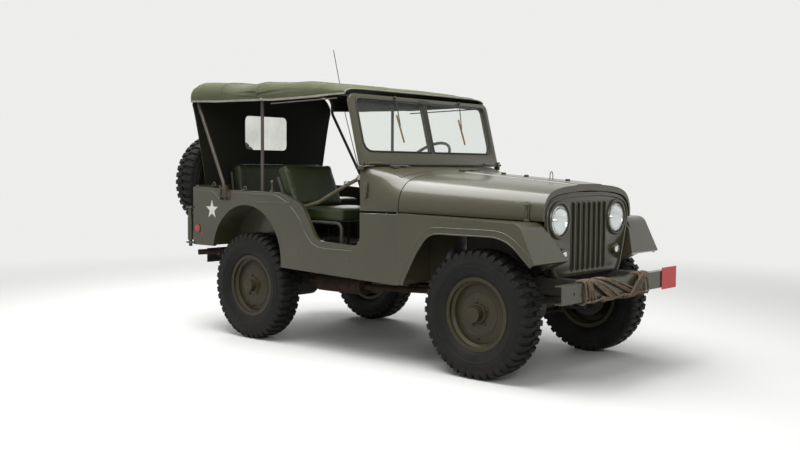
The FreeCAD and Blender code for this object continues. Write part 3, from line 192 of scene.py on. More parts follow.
def addStudio(floorColor, bounceColor, floorRadius, floorSides, floorRough, floorGloss, skyColor, worldStrength,
              cameraStrength, fade, lamps):
    addWorld(skyColor, worldStrength, cameraStrength)
    angles = [2 * math.pi * i / floorSides for i in range(floorSides)]
    edge = [(floorRadius * math.cos(angle), floorRadius * math.sin(angle), 0) for angle in angles]
    floor = linked("studioFloor", meshOf(edge, [tuple(range(floorSides))]))
    material, tree = newMaterial("floorPaint")
    paint = blended(tree, add(tree, "LightPath", out="Is Diffuse Ray"), floorColor, bounceColor)
    skin(tree, {"Base Color": paint, "Roughness": floorRough, "Specular IOR Level": floorGloss})
    distance = add(tree, "VectorMath", {0: objectPlace(tree)}, "Value", operation="LENGTH")
    away = add(tree, "MapRange", {"Value": distance, "From Min": fade[0], "From Max": fade[1]}, "Result",
               interpolation_type="SMOOTHSTEP")
    surfaced(tree, away, tree.nodes["Principled BSDF"].outputs[0], add(tree, "Emission", {"Color": skyColor}))
    floor.data.materials.append(material)
    for name, (place, aim, size, power) in lamps.items():
        data = bpy.data.lights.new(name, "AREA")
        data.shape, data.energy = "RECTANGLE", power
        data.size, data.size_y = size
        lamp = linked(name, data)
        lamp.location = place
        lamp.rotation_euler = (Vector(aim) - Vector(place)).to_track_quat("-Z", "Y").to_euler()
    scene.view_settings.view_transform = "Standard"


addStudio(**studioSettings)
print("scene: camera and studio ready")


# materials

def paintLook(tree, look):
    broad, fine = cloudy(tree, look.mottleScale, 5.0), cloudy(tree, look.grainScale, 3.0)
    base = blended(tree, ranged(tree, broad, 0.3, 0.7), look.color, look.faded)
    worn = ranged(tree, cloudy(tree, look.wearScale, 8.0, 0.7), look.wearFrom, look.wearFrom + 0.05)
    base = blended(tree, sums(tree, "MULTIPLY", worn, look.wear), base, look.wearColor)
    low = ranged(tree, heightOf(tree), look.dustTop, look.dustFoot)
    dust = sums(tree, "MULTIPLY", sums(tree, "MULTIPLY", low, ranged(tree, fine, 0.35, 0.65)), look.dust)
    rounded = add(tree, "Bevel", {"Radius": look.edge}, samples=4)
    waves = bumped(tree, cloudy(tree, look.dentScale, 2.0), look.dents, 0.01, rounded)
    skin(tree, {"Base Color": blended(tree, dust, base, look.dustColor), "Specular IOR Level": look.gloss,
                "Roughness": ranged(tree, broad, 0.2, 0.8, look.rough - 0.05, look.rough + 0.07),
                "Coat Weight": look.coat, "Coat Roughness": 0.14,
                "Normal": bumped(tree, fine, look.grain, 0.0006, waves)})


def rubberLook(tree, look):
    broad = cloudy(tree, look.mottleScale, 6.0)
    base = blended(tree, ranged(tree, broad, 0.35, 0.7), look.color, look.faded)
    low = ranged(tree, heightOf(tree), look.dustTop, 0.0)
    dust = sums(tree, "MULTIPLY", low, ranged(tree, broad, 0.3, 0.6, 0, look.dust))
    skin(tree, {"Base Color": blended(tree, dust, base, look.dustColor), "Specular IOR Level": look.gloss,
                "Roughness": ranged(tree, broad, 0.2, 0.8, look.rough - 0.06, look.rough + 0.06),
                "Normal": bumped(tree, cloudy(tree, look.grainScale, 3.0), look.grain, 0.0008)})


def wovenHeight(tree, threads):
    height = 0
    for direction in "XYZ":
        inputs = {"Scale": threads, "Distortion": 0.6, "Detail": 1.0, "Vector": objectPlace(tree)}
        height = sums(tree, "ADD", height, add(tree, "TexWave", inputs, "Fac", bands_direction=direction))
    return height


def insideShadeMask(tree, middle):
    # 1 on the faces that look towards the middle of the cabin; these get the painted shade of the canvas's inner side
    away = add(tree, "VectorMath", {0: objectPlace(tree), 1: middle}, operation="SUBTRACT")
    normal = add(tree, "NewGeometry", out="True Normal")
    return ranged(tree, add(tree, "VectorMath", {0: away, 1: normal}, "Value", operation="DOT_PRODUCT"), 0.02, -0.02)


def fabricLook(tree, look):
    base = blended(tree, ranged(tree, cloudy(tree, look.mottleScale, 6.0), 0.3, 0.7), look.color, look.faded)
    stain = ranged(tree, cloudy(tree, look.stainScale, 9.0, 0.65), 0.52, 0.7)
    base = blended(tree, sums(tree, "MULTIPLY", stain, look.stain), base, look.stainColor)
    # faces that look into the cabin take a darker colour: painted shade on the inner side of the top, not a lining
    # colour
    if hasattr(look, "inside"):
        base = blended(tree, insideShadeMask(tree, look.middle), base, look.inside)
    creases = bumped(tree, cloudy(tree, look.creaseScale, 3.0), look.crease, 0.006)
    skin(tree, {"Base Color": base, "Roughness": look.rough, "Specular IOR Level": look.gloss,
                "Sheen Weight": look.sheen, "Sheen Roughness": 0.5,
                "Normal": bumped(tree, wovenHeight(tree, look.threads), look.weave, 0.0006, creases)})


def glassLook(tree, look):
    skin(tree, {"Base Color": (0.75, 0.77, 0.74), "Roughness": look.rough, "Specular IOR Level": 0.5})
    grazing = sums(tree, "POWER", add(tree, "LayerWeight", {"Blend": 0.5}, "Facing"), 5.0)
    smear = ranged(tree, cloudy(tree, 5.0, 6.0), 0.4, 0.7, 0.03, 0.03 + 1 - look.clearShare)
    share = sums(tree, "MINIMUM", sums(tree, "ADD", grazing, smear), 1.0)
    clear = add(tree, "BsdfTransparent", {"Color": look.color})
    surfaced(tree, share, clear, tree.nodes["Principled BSDF"].outputs[0])


def plainLook(tree, look):
    broad = cloudy(tree, look.mottleScale, 5.0)
    skin(tree, {"Base Color": blended(tree, ranged(tree, broad, 0.3, 0.7), look.color, look.faded),
                "Metallic": look.metal,
                "Roughness": ranged(tree, broad, 0.2, 0.8, look.rough * 0.85, look.rough * 1.15),
                "Normal": bumped(tree, cloudy(tree, look.grainScale, 3.0), look.grain, 0.0006)})


# each row gives a finish's values in the order of the columns
finishSettings = [
    (paintLook, "color faded mottleScale grainScale wearScale wearFrom wear wearColor dustTop dustFoot dust "
     "dustColor rough gloss coat edge dentScale dents grain", {
        "bodyPaint": [(0.035, 0.0325, 0.014), (0.045, 0.042, 0.020), 2.2, 260, 9, 0.70, 0.35, (0.09, 0.083, 0.05),
                      0.95, 0.4, 0.26, (0.085, 0.072, 0.046), 0.36, 0.4, 0.45, 0.003, 2.4, 0.10, 0.12],
        "chassisPaint": [(0.020, 0.020, 0.017), (0.040, 0.037, 0.029), 6, 180, 14, 0.62, 0.5, (0.07, 0.06, 0.045),
                         0.8, 0.3, 0.35, (0.10, 0.085, 0.065), 0.55, 0.4, 0, 0.003, 5, 0.10, 0.35],
        "rimPaint": [(0.025, 0.021, 0.008), (0.037, 0.031, 0.013), 7, 220, 16, 0.64, 0.45, (0.035, 0.030, 0.02),
                     0.8, 0.1, 0.25, (0.055, 0.046, 0.028), 0.44, 0.30, 0, 0.002, 5, 0.06, 0.2],
        "castPaint": [(0.040, 0.036, 0.026), (0.060, 0.052, 0.036), 12, 150, 22, 0.58, 0.6, (0.03, 0.024, 0.018),
                      0.9, 0.1, 0.3, (0.12, 0.10, 0.08), 0.6, 0.4, 0, 0.002, 12, 0.2, 0.5],
        "bowPaint": [(0.050, 0.042, 0.030), (0.076, 0.063, 0.046), 9, 200, 18, 0.62, 0.5, (0.11, 0.085, 0.065),
                     0.5, 0.1, 0.1, (0.12, 0.10, 0.08), 0.5, 0.4, 0, 0.001, 9, 0.05, 0.2],
        "rustyPipe": [(0.022, 0.014, 0.010), (0.052, 0.030, 0.020), 14, 140, 26, 0.5, 0.7, (0.02, 0.013, 0.009),
                      0.9, 0.2, 0.15, (0.08, 0.055, 0.038), 0.82, 0.2, 0, 0.001, 14, 0.2, 0.6],
    }),
    (rubberLook, "color faded mottleScale grainScale dustTop dust dustColor rough gloss grain", {
        "tyreRubber": [(0.0080, 0.0080, 0.0075), (0.014, 0.0138, 0.0125), 11, 160, 0.22, 0.35,
                       (0.045, 0.040, 0.034), 0.60, 0.16, 0.25],
        "blackPlastic": [(0.010, 0.010, 0.009), (0.018, 0.017, 0.014), 20, 300, 0.3, 0.0, (0.1, 0.1, 0.1), 0.38,
                         0.5, 0.08],
    }),
    (fabricLook, "color faded mottleScale stainScale stain stainColor rough gloss sheen creaseScale crease "
     "threads weave inside middle", {
        # in the canvas row, the colour before the last value is painted shade for the faces that look into the cabin;
        # the last value is the cabin's middle
        "canvas": [(0.064, 0.070, 0.036), (0.092, 0.098, 0.056), 3.0, 6, 0.4, (0.036, 0.038, 0.024), 0.88, 0.15,
                   0.03, 14, 0.35, 280, 0.5, (0.013, 0.013, 0.009), (0, 0.75, 1.45)],
        "vinyl": [(0.013, 0.018, 0.005), (0.025, 0.031, 0.010), 5.0, 11, 0.3, (0.010, 0.012, 0.004), 0.42, 0.34,
                  0.0, 26, 0.22, 420, 0.12],
        "webbing": [(0.050, 0.045, 0.022), (0.085, 0.076, 0.042), 22, 30, 0.4, (0.06, 0.05, 0.03), 0.9, 0.2, 0.1,
                    60, 0.2, 500, 0.7],
        "rope": [(0.160, 0.112, 0.076), (0.310, 0.235, 0.165), 35, 60, 0.5, (0.075, 0.045, 0.03), 0.92, 0.15, 0.1,
                 120, 0.4, 700, 0.8],
        "binding": [(0.20, 0.20, 0.16), (0.27, 0.27, 0.22), 18, 30, 0.4, (0.15, 0.15, 0.11), 0.8, 0.3, 0.1, 60,
                    0.2, 500, 0.6],
    }),
    (plainLook, "color faded metal rough mottleScale grainScale grain", {
        "lampSilver": [(0.86, 0.87, 0.86), (0.80, 0.81, 0.80), 1.0, 0.12, 12, 90, 0.1],
        "whitePaint": [(0.74, 0.74, 0.70), (0.64, 0.64, 0.60), 0.0, 0.5, 25, 200, 0.1],
        "redGlass": [(0.36, 0.035, 0.020), (0.45, 0.06, 0.035), 0.0, 0.25, 40, 300, 0.5],
        "redPaint": [(0.64, 0.030, 0.035), (0.56, 0.026, 0.030), 0.0, 0.35, 12, 200, 0.05],
        "bareSteel": [(0.42, 0.40, 0.36), (0.25, 0.22, 0.18), 1.0, 0.42, 30, 300, 0.2],
        "wiperBrass": [(0.20, 0.13, 0.045), (0.13, 0.08, 0.04), 0.3, 0.5, 60, 300, 0.3],
        "rubberBlack": [(0.008, 0.008, 0.008), (0.014, 0.014, 0.013), 0.0, 0.6, 60, 300, 0.2],
        # near black: the black of the gauge faces and the radiator, and painted shade where it fills the bumper's slots
        # and the sheet behind the grille
        "blackAndShadeFill": [(0.006, 0.006, 0.005), (0.011, 0.011, 0.009), 0.0, 0.8, 10, 100, 0.2],
    }),
    (glassLook, "color rough clearShare", {
        "clearGlass": [(0.93, 0.95, 0.93), 0.03, 0.985], "softWindow": [(0.90, 0.91, 0.88), 0.12, 0.88],
        "lampLens": [(0.97, 0.98, 0.98), 0.05, 0.93],
    }),
]
finishes = {}
for makeLook, columns, rows in finishSettings:
    for name, values in rows.items():
        finishes[name], tree = newMaterial(name)
        makeLook(tree, SimpleNamespace(**dict(zip(columns.split(), values))))
print("scene: finishes made")


# mesh helpers

def meshFrom(work, mesh=None):
    mesh = mesh or bpy.data.meshes.new("made")
    work.to_mesh(mesh)
    work.free()
    return mesh


def outward(mesh, merge=1e-5):
    work = bmesh.new()
    work.from_mesh(mesh)
    bmesh.ops.remove_doubles(work, verts=work.verts, dist=merge)
    bmesh.ops.recalc_face_normals(work, faces=work.faces)
    return meshFrom(work, mesh)


def joined(meshes):
    work = bmesh.new()
    for mesh in meshes:
        work.from_mesh(mesh)
        bpy.data.meshes.remove(mesh)
    return meshFrom(work)


def newPiece(name, meshes, finish, crease=None, body="chassis", replaced=None):
    # smooth, or flat where crease is 0, or with sharp edges from that many degrees
    mesh = joined(meshes) if isinstance(meshes, list) else meshes
    mesh.name = name
    mesh.materials.clear()
    mesh.materials.append(finishes[finish])
    if crease != 0:
        mesh.shade_smooth()
    if crease:
        mesh.set_sharp_from_angle(angle=math.radians(crease))
    piece = linked(name, mesh)
    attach(piece, body)
    if replaced:
        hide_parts(replaced)
    return piece


def evaluated(thing):
    depsgraph = bpy.context.evaluated_depsgraph_get()
    return bpy.data.meshes.new_from_object(thing.evaluated_get(depsgraph), depsgraph=depsgraph)


def used(helper):
    # the helper's final mesh; the helper itself goes
    mesh, data = evaluated(helper), helper.data
    bpy.data.objects.remove(helper)
    (bpy.data.curves if isinstance(data, bpy.types.Curve) else bpy.data.meshes).remove(data)
    return mesh


def modified(thing, kind, **values):
    modifier = thing.modifiers.new(kind.lower(), kind)
    for key, value in values.items():
        setattr(modifier, key, value)
    return modifier


def gridFaces(rows, columns, roundRows=False, roundColumns=False):
    return [(r * columns + c, r * columns + (c + 1) % columns, (r + 1) % rows * columns + (c + 1) % columns,
             (r + 1) % rows * columns + c)
            for r in range(rows if roundRows else rows - 1) for c in range(columns if roundColumns else columns - 1)]


def turned(outline, steps, axis="X"):
    # the outline's places along and away from the axis, turned round it
    points = []
    for step in range(steps):
        s, c = math.sin(2 * math.pi * step / steps), math.cos(2 * math.pi * step / steps)
        for along, radius in outline:
            a, p, q = along / 1000, radius * s / 1000, radius * c / 1000
            points.append({"X": (a, p, q), "Y": (q, a, p), "Z": (q, p, a)}[axis])
    return outward(meshOf(points, gridFaces(steps, len(outline), roundRows=True)))


def tubeCurve(points, radius, cyclic=False, resolution=8, sides=4, smooth=True):
    data = bpy.data.curves.new("tube", "CURVE")
    data.dimensions = "3D"
    data.bevel_depth = radius / 1000
    data.bevel_resolution = sides
    data.use_fill_caps = True
    data.resolution_u = resolution
    spline = data.splines.new("NURBS" if smooth else "POLY")
    spline.points.add(len(points) - 1)
    for target, point in zip(spline.points, points):
        target.co = (*point, 1)
    spline.use_cyclic_u = cyclic
    if smooth:
        spline.order_u = 3
        spline.use_endpoint_u = not cyclic
    return data


def tubeMesh(points, radius, **options):
    return used(linked("tube", tubeCurve(points, radius, **options)))


def rod(places, radius, **options):
    return tubeMesh([spot(*place) for place in places], radius, **{"smooth": False, **options})


def ringTube(points, radius):
    return tubeMesh(points, radius, cyclic=True, smooth=False, sides=2)


def boxMesh(low, high, bevel=0.0):
    work = bmesh.new()
    bmesh.ops.create_cube(work, size=1)
    for vert in work.verts:
        vert.co = Vector([(a + b) / 2 + (b - a) * c for a, b, c in zip(low, high, vert.co)])
    if bevel:
        bmesh.ops.bevel(work, geom=list(work.edges), offset=bevel, segments=2, profile=0.5, affect="EDGES")
    return meshFrom(work)


def moved(mesh, matrix):
    mesh.transform(matrix)
    return mesh


def placed(mesh, x, y, z):
    return moved(mesh, Matrix.Translation(spot(x, y, z)))


def rotation(degrees, axis="Z"):
    return Matrix.Rotation(math.radians(degrees), 4, axis)


def outwards(mesh, sign):
    # a shape that looks to the car's left, turned to the right where sign is -1
    return moved(mesh, rotation(0 if sign > 0 else 180))


def carBox(x, y, z, bevel=1.5, sign=1):
    x = sorted((x[0] * sign, x[1] * sign))
    return boxMesh(spot(x[0], y[0], z[0]), spot(x[1], y[1], z[1]), bevel / 1000)


def strip(places, wide, thick, across):
    # a flat band along the places, this wide along the direction across
    points = [spot(*place) for place in places]
    rows = []
    across = Vector(across).normalized()
    for i, point in enumerate(points):
        ahead = (points[min(i + 1, len(points) - 1)] - points[max(i - 1, 0)]).normalized()
        side = (across - ahead * across.dot(ahead)).normalized()
        up = ahead.cross(side)
        rows += [point + side * (a * wide / 2000) + up * (b * thick / 2000)
                 for a, b in ((-1, -1), (1, -1), (1, 1), (-1, 1))]
    ends = [(0, 1, 2, 3), tuple(len(rows) - 4 + k for k in (3, 2, 1, 0))]
    return outward(meshOf(rows, ends + gridFaces(len(points), 4, roundColumns=True)))


def roundedLoop(corners, steps=6):
    line = []
    for i, (x, y, radius) in enumerate(corners):
        here = Vector((x, y))
        first, second = ((Vector(corner[:2]) - here).normalized() * radius
                         for corner in (corners[i - 1], corners[(i + 1) % len(corners)]))
        for k in range(steps + 1 if radius else 1):
            t = k / steps
            line.append((here + first * (1 - t)) * (1 - t) + (here + second * t) * t)
    return line


def between(table, x):
    for (x0, y0), (x1, y1) in zip(table, table[1:]):
        if x <= x1:
            t = max(0.0, min(1.0, (x - x0) / (x1 - x0)))
            return y0 + (y1 - y0) * t * t * (3 - 2 * t)
    return table[-1][1]


def middleOf(node):
    low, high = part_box(node)
    return (Vector(low) + Vector(high)) / 2


# node trees that repeat small pieces

def startTree(name, sizes):
    tree = bpy.data.node_groups.new(name, "GeometryNodeTree")
    for label, kind in {"Geometry": "Geometry", **sizes, "Finish": "Material"}.items():
        tree.interface.new_socket(label, in_out="INPUT", socket_type="NodeSocket" + kind)
    tree.interface.new_socket("Geometry", in_out="OUTPUT", socket_type="NodeSocketGeometry")
    return tree, tree.nodes.new("NodeGroupInput").outputs


def endTree(tree, given, geometry):
    real = add(tree, "GeometryNodeRealizeInstances", {0: geometry})
    dressed = add(tree, "GeometryNodeSetMaterial", {"Geometry": real, "Material": given["Finish"]})
    tree.links.new(dressed, tree.nodes.new("NodeGroupOutput").inputs[0])
    return tree


def ringTree():
    tree, given = startTree("copiesRound", {"Piece": "Object", "Count": "Int", "Phase": "Float"})
    points = add(tree, "GeometryNodeMeshLine", {"Count": given["Count"], "Offset": (0, 0, 0)})
    place = sums(tree, "ADD", add(tree, "GeometryNodeInputIndex"), given["Phase"])
    angle = sums(tree, "MULTIPLY", sums(tree, "DIVIDE", place, given["Count"]), 2 * math.pi)
    piece = add(tree, "GeometryNodeObjectInfo", {"Object": given["Piece"]}, "Geometry")
    turn = add(tree, "CombineXYZ", {"X": angle})
    return endTree(tree, given, add(tree, "GeometryNodeInstanceOnPoints", {
        "Points": points, "Instance": piece, "Rotation": turn}))


def pointTree():
    tree, given = startTree("copiesAtPoints", {"Piece": "Object"})
    piece = add(tree, "GeometryNodeObjectInfo", {"Object": given["Piece"]}, "Geometry")
    return endTree(tree, given, add(tree, "GeometryNodeInstanceOnPoints", {
        "Points": given["Geometry"], "Instance": piece}))


def strandTree():
    tree, given = startTree("laidStrands", {"Strands": "Int", "Radius": "Float", "Turns": "Float", "Step": "Float"})
    even = add(tree, "GeometryNodeResampleCurve", {"Curve": given["Geometry"], "Length": given["Step"]},
               mode="LENGTH")
    turns = sums(tree, "MULTIPLY", add(tree, "GeometryNodeSplineParameter", out="Length"), given["Turns"])
    tilted = add(tree, "GeometryNodeSetCurveTilt", {
        "Curve": even, "Tilt": sums(tree, "MULTIPLY", turns, 2 * math.pi)})
    ring, strand = (add(tree, "GeometryNodeCurvePrimitiveCircle", {"Resolution": count, "Radius": radius},
                        mode="RADIUS")
                    for count, radius in ((given["Strands"], sums(tree, "MULTIPLY", given["Radius"], 1.05)),
                                          (6, given["Radius"])))
    bundle = add(tree, "GeometryNodeInstanceOnPoints", {"Points": ring, "Instance": strand})
    profile = add(tree, "GeometryNodeRealizeInstances", {0: bundle})
    return endTree(tree, given, add(tree, "GeometryNodeCurveToMesh", {
        "Curve": tilted, "Profile Curve": profile, "Fill Caps": True}))


trees = {"ring": ringTree(), "points": pointTree(), "strand": strandTree()}


def grown(treeName, values, carrier=None):
    carrier = carrier or linked("copies", bpy.data.meshes.new("copies"))
    modifier = modified(carrier, "NODES", node_group=trees[treeName])
    for item in trees[treeName].interface.items_tree:
        if item.in_out == "INPUT" and item.name in values:
            modifier[item.identifier] = values[item.name]
    return used(carrier)


def copied(treeName, mesh, finish, values, carrier=None):
    single = linked("single", mesh)
    copies = grown(treeName, {"Piece": single, "Finish": finishes[finish], **values}, carrier)
    bpy.data.objects.remove(single)
    bpy.data.meshes.remove(mesh)
    return copies


def around(mesh, count, finish, phase=0.0):
    return copied("ring", mesh, finish, {"Count": count, "Phase": phase})


def hexHead(radius, depth):
    outline = [(0, 0.01), (0, radius * 1.35), (depth * 0.12, radius * 1.35), (depth * 0.12, radius),
               (depth * 0.85, radius), (depth, radius * 0.82), (depth * 1.25, radius * 0.4), (depth * 1.25, 0.01)]
    return turned(outline, 6)


def sideBolts(radius, depth, places, signs=(1, -1), finish="bodyPaint"):
    # bolts at the places, which are those on the left, and at the same places on the right
    return [copied("points", outwards(hexHead(radius, depth), sign), finish, {},
                   linked("places", meshOf([spot(x * sign, y, z) for x, y, z in places], []))) for sign in signs]


print("scene: helpers and node trees ready")


# finishes of the CAD nodes that stay

nodeFinishes = {
    "bodyPaint": "side_panel_left side_panel_right floor_pan wheel_boxes rear_panel battery_lid cowl hood grille "
                 "fender_left fender_right windshield_frame front_bumper fuel_tank spare_carrier",
    "chassisPaint": "frame_rails springs front_axle rear_axle knuckle_right knuckle_left tie_rod propeller_shafts "
                    "steering_column seat_frames bumperettes",
    "blackAndShadeFill": "radiator", "castPaint": "engine_block gearbox pintle_hook",
    "rimPaint": "rim_front_right rim_front_left rim_rear_right rim_rear_left spare_rim",
    "tyreRubber": "tyre_front_right tyre_front_left tyre_rear_right tyre_rear_left spare_tyre",
    "bowPaint": "top_bows", "rustyPipe": "exhaust", "canvas": "canopy_top rear_curtain",
    "vinyl": "seat_right seat_left rear_seat", "clearGlass": "windshield_glass", "softWindow": "curtain_window",
    "lampSilver": "lamps", "rope": "bumper_rope", "blackPlastic": "steering_wheel antenna",
}
for finish, names in nodeFinishes.items():
    for name in names.split():
        nodes[name].data.materials.clear()
        nodes[name].data.materials.append(finishes[finish])
print("scene: CAD nodes dressed")


# tyres

tyreSettings = {
    "lugs": 42, "lugWidth": 33, "draft": 3.0, "slant": 9, "sink": 4, "steps": 84,
    # along the axle from the middle, height of the groove, height of the lug
    "lugPath": [(3, 371, 384.6), (34, 371, 384.8), (66, 368, 383), (79, 363, 378), (88, 352, 366), (90, 338, 347),
                (88, 330, 331)],
    "side": [(0, 371), (40, 371), (66, 368), (79, 363), (86, 352), (88.5, 338), (89.5, 326), (91, 323), (91.5, 300),
             (90.5, 288), (92, 286), (92, 283), (89.5, 281), (85, 262), (76, 241), (66, 228), (60, 224), (57.5, 222),
             (57.5, 205.5), (50, 205.5)],
}


def lugMesh(way, lugPath, lugWidth, draft, slant, sink):
    points, last = [], len(lugPath) - 1
    for i, (along, low, high) in enumerate(lugPath):
        middle = slant * (1 - i / last) ** 2
        half = lugWidth / 2 * (0.72 + 0.28 * min(1, i / last * 2.2))
        points += [(way * along / 1000, (middle + side * wide) / 1000, radius / 1000)
                   for radius, wide, side in ((low - sink, half + draft, -1), (low - sink, half + draft, 1),
                                              (high, half, 1), (high, half, -1))]
    sides = ((3, 2, 6, 7), (0, 4, 5, 1), (0, 3, 7, 4), (1, 5, 6, 2))
    faces = [tuple(a + k for k in side) for a in range(0, last * 4, 4) for side in sides]
    return outward(meshOf(points, faces + [(0, 1, 2, 3), tuple(last * 4 + k for k in (0, 3, 2, 1))]))


def tyreMesh(lugs, side, steps, **lug):
    outline = [(-a, r) for a, r in side[::-1]] + side[1:]
    return [turned(outline + [outline[0]], steps)] + [
        around(lugMesh(way, **lug), lugs, "tyreRubber", phase) for way, phase in ((1, 0.0), (-1, 0.5))]


def wheelPlace(node, degrees):
    return Matrix.Translation(middleOf(node)) @ rotation(degrees)


def addTyres(settings):
    wheels = {f"tyre_{end}_{side}": (f"wheel_{end}_{side}", 180 if sign > 0 else 0)
              for end in ("front", "rear") for side, sign in carSides.items()}
    for node, (body, degrees) in {**wheels, "spare_tyre": ("spare_carrier", -90)}.items():
        mesh = moved(joined(tyreMesh(**settings)), wheelPlace(node, degrees))
        newPiece(node + "_lugged", mesh, "tyreRubber", 32, body, node)


addTyres(tyreSettings)
print("scene: tyres made")


# canvas top

canopySettings = {
    "start": 1032.2, "run": 1656.7, "half": 741.5, "skirt": 1722, "rise": 183, "thick": 2.5, "grid": (150, 101),
    # share of the run, height of the crown as a share of the rise
    "stations": [(0, .25), (.03, .36), (.16, .57), (.28, .70), (.54, .80), (.66, .72), (.80, .90), (.965, 1), (1, .86)],
    # share of the half width, share of the section's height
    "shares": [(1, 0), (1, .3), (.985, .62), (.93, .86), (.80, .97), (.4, 1), (0, 1.01)],
    # lower edge: station and height above the skirt
    "hem": [(1032, 12), (1100, 10), (1394, 0), (1690, -2), (1755, -3), (1872, 3), (2257, 10), (2689, 24)],
    # depth of the creases, station of the middle bow, reach of the creases on both sides of it
    "folds": 5.0, "bow": 1915, "fans": (560, 430),
}
roof = SimpleNamespace(**canopySettings)


def roofPoint(along, share):
    # share runs from -1 at the right hem, over the crown, to 1 at the left hem
    crown = between([(a * roof.run, c) for a, c in roof.stations], along)
    last = len(roof.shares) - 1
    place = (1 - abs(share)) * last
    i = min(int(place), last - 1)
    t = place - i
    rows = (roof.shares[max(0, min(last, i + k))] for k in (-1, 0, 1, 2))
    wide, high = (
        0.5 * (2 * b + (c - a) * t + (2 * a - 5 * b + 4 * c - d) * t * t + (3 * b - a - 3 * c + d) * t ** 3)
        for a, b, c, d in zip(*rows))
    y = roof.start + along
    z = roof.skirt + roof.rise * crown * max(0.0, high) + between(roof.hem, y) * (1 - min(1.0, place / 2.0))
    return math.copysign(roof.half * min(wide, 1.0), share), y, z


def foldedRoof(along, share):
    # slack creases fan out from the middle bow on both sides and hang from the crown
    x, y, z = roofPoint(along, share)
    side, fan = abs(share), 0.0
    for spread in roof.fans:
        reach = abs(y - roof.bow) / spread
        if reach < 1:
            fan += (1 - reach) ** 1.3 * math.sin(side * 46 + reach * 9 + (2 if y > roof.bow else 0))
    edge = math.exp(-((side - 0.72) / 0.16) ** 2)
    cross = math.sin(y / 74 + 2.2 * math.sin(x / 190)) * 0.28
    drop = roof.folds * (fan * edge * 0.75 + cross * (1 - edge) * 0.8 - 0.9)
    if side > 0.5:
        x += math.copysign(drop * 0.6, share) * min(1, (1 - side) * 12)
    ends = math.sin(math.pi * min(1, max(0, along / roof.run))) ** 0.3
    return x, y, z + drop * min(1, (1 - side) * 4) * ends


def walled(mesh, thick, offset):
    sheet = linked("sheet", mesh)
    modified(sheet, "SOLIDIFY", thickness=thick / 1000, offset=offset)
    return used(sheet)


def addCanopy():
    rows, columns = roof.grid
    points = [spot(*foldedRoof(roof.run * r / (rows - 1), -1 + 2 * c / (columns - 1)))
              for r in range(rows) for c in range(columns)]
    mesh = walled(meshOf(points, gridFaces(rows, columns)), roof.thick, -1)
    piece = newPiece("canopy_sheet", mesh, "canvas", replaced="canopy_top")


addCanopy()


# rear curtain

curtainSettings = {
    "foot": 1100, "footHalf": 608, "station": 2684.8, "half": 732, "skirt": 1722, "rise": 157, "grid": (97, 121),
    "window": (225, 1387, 1667, 50), "thick": 2.0, "fold": 6.0, "corner": 0.24, "headShare": 0.93,
}
curtain = SimpleNamespace(**curtainSettings)


def curtainHalf(z):
    # straight from the hem of the top down to the foot, pulled in a little in the middle
    share = max(0.0, (curtain.skirt - z) / (curtain.skirt - curtain.foot))
    return curtain.half + (curtain.footHalf - curtain.half) * share ** 0.85


def windowReach(x, z):
    # how far the place lies past the middles of the window's rounded corners
    wide, low, high, corner = curtain.window
    return abs(x) - (wide - corner), abs(z - (low + high) / 2) - ((high - low) / 2 - corner)


def snapWindow(mesh):
    # the cells' steps round the window are drawn onto its rounded outline
    wide, low, high, corner = curtain.window
    middle = (low + high) / 2
    work = bmesh.new()
    work.from_mesh(mesh)
    for stray in [v for v in work.verts if not v.link_faces]:
        work.verts.remove(stray)
    for vert in work.verts:
        x, z = vert.co.x * 1000, vert.co.z * 1000
        if vert.is_boundary and abs(x) < wide + 30 and low - 30 < z < high + 30:
            px, pz = windowReach(x, z)
            if px > 0 and pz > 0:
                scale = corner / math.hypot(px, pz)
                px, pz = px * scale, pz * scale
            elif px > pz:
                px = corner
            else:
                pz = corner
            vert.co.x = math.copysign((wide - corner + px) / 1000, x)
            vert.co.z = (middle + math.copysign((high - low) / 2 - corner + pz, z - middle)) / 1000
    bmesh.ops.dissolve_degenerate(work, edges=work.edges, dist=1e-4)
    return meshFrom(work, mesh)


def addCurtain():
    rows, columns = curtain.grid
    wide, low, high, corner = curtain.window
    points = []
    for r in range(rows):
        for c in range(columns):
            u = -1 + 2 * c / (columns - 1)
            head = curtain.corner + (curtain.headShare - curtain.corner) * (1 - abs(u) ** 14)
            z = curtain.foot + (curtain.skirt + curtain.rise * head - curtain.foot) * r / (rows - 1)
            x = u * curtainHalf(z)
            near = 1 - min(1, max(abs(x) / 300, abs(z - 1527) / 190)) ** 4
            pull = math.sin((x * 0.9 - (z - 1100) * 0.55 * (1 if x > 0 else -1)) / 62) * abs(u) ** 1.5
            wave = curtain.fold * 0.45 * pull * math.sin(math.pi * r / (rows - 1)) * (1 - max(0, near))
            points.append(spot(x, curtain.station + wave, z))
    faces = []
    for face in gridFaces(rows, columns):
        middle = sum((points[i] for i in face), Vector()) / 4
        x, z = abs(middle.x * 1000), middle.z * 1000
        dx, dz = windowReach(x, z)
        if not (x < wide and low < z < high) or (dx > 0 and dz > 0 and math.hypot(dx, dz) > corner):
            faces.append(face)
    mesh = walled(snapWindow(meshOf(points, faces)), curtain.thick, 0)
    piece = newPiece("curtain_sheet", mesh, "canvas", replaced="rear_curtain")


addCurtain()
print("scene: canvas made")


# seats

seatSettings = {
    "voxel": 10, "pressure": 4.0, "frames": 20, "cap": 9, "inset": 6, "fill": 0.75,
    # node, right and left edge, cushion's stations and heights, back's station, height, rise, depth and lean
    "seats": {
        "seat_right": ("seat_right", (-655, -160), (1150, 1580), (885, 975), (1610, 975, 335, 90, 24)),
        "seat_left": ("seat_left", (160, 655), (1150, 1580), (885, 975), (1610, 975, 335, 90, 24)),
        "bench": ("rear_seat", (-455, 455), (2040, 2420), (920, 1010), (2450, 965, 330, 90, 8)),
    },
    "cloth": {"quality": 5, "mass": 0.4, "tension_stiffness": 12, "compression_stiffness": 12,
              "bending_stiffness": 1.5, "use_pressure": True},
}


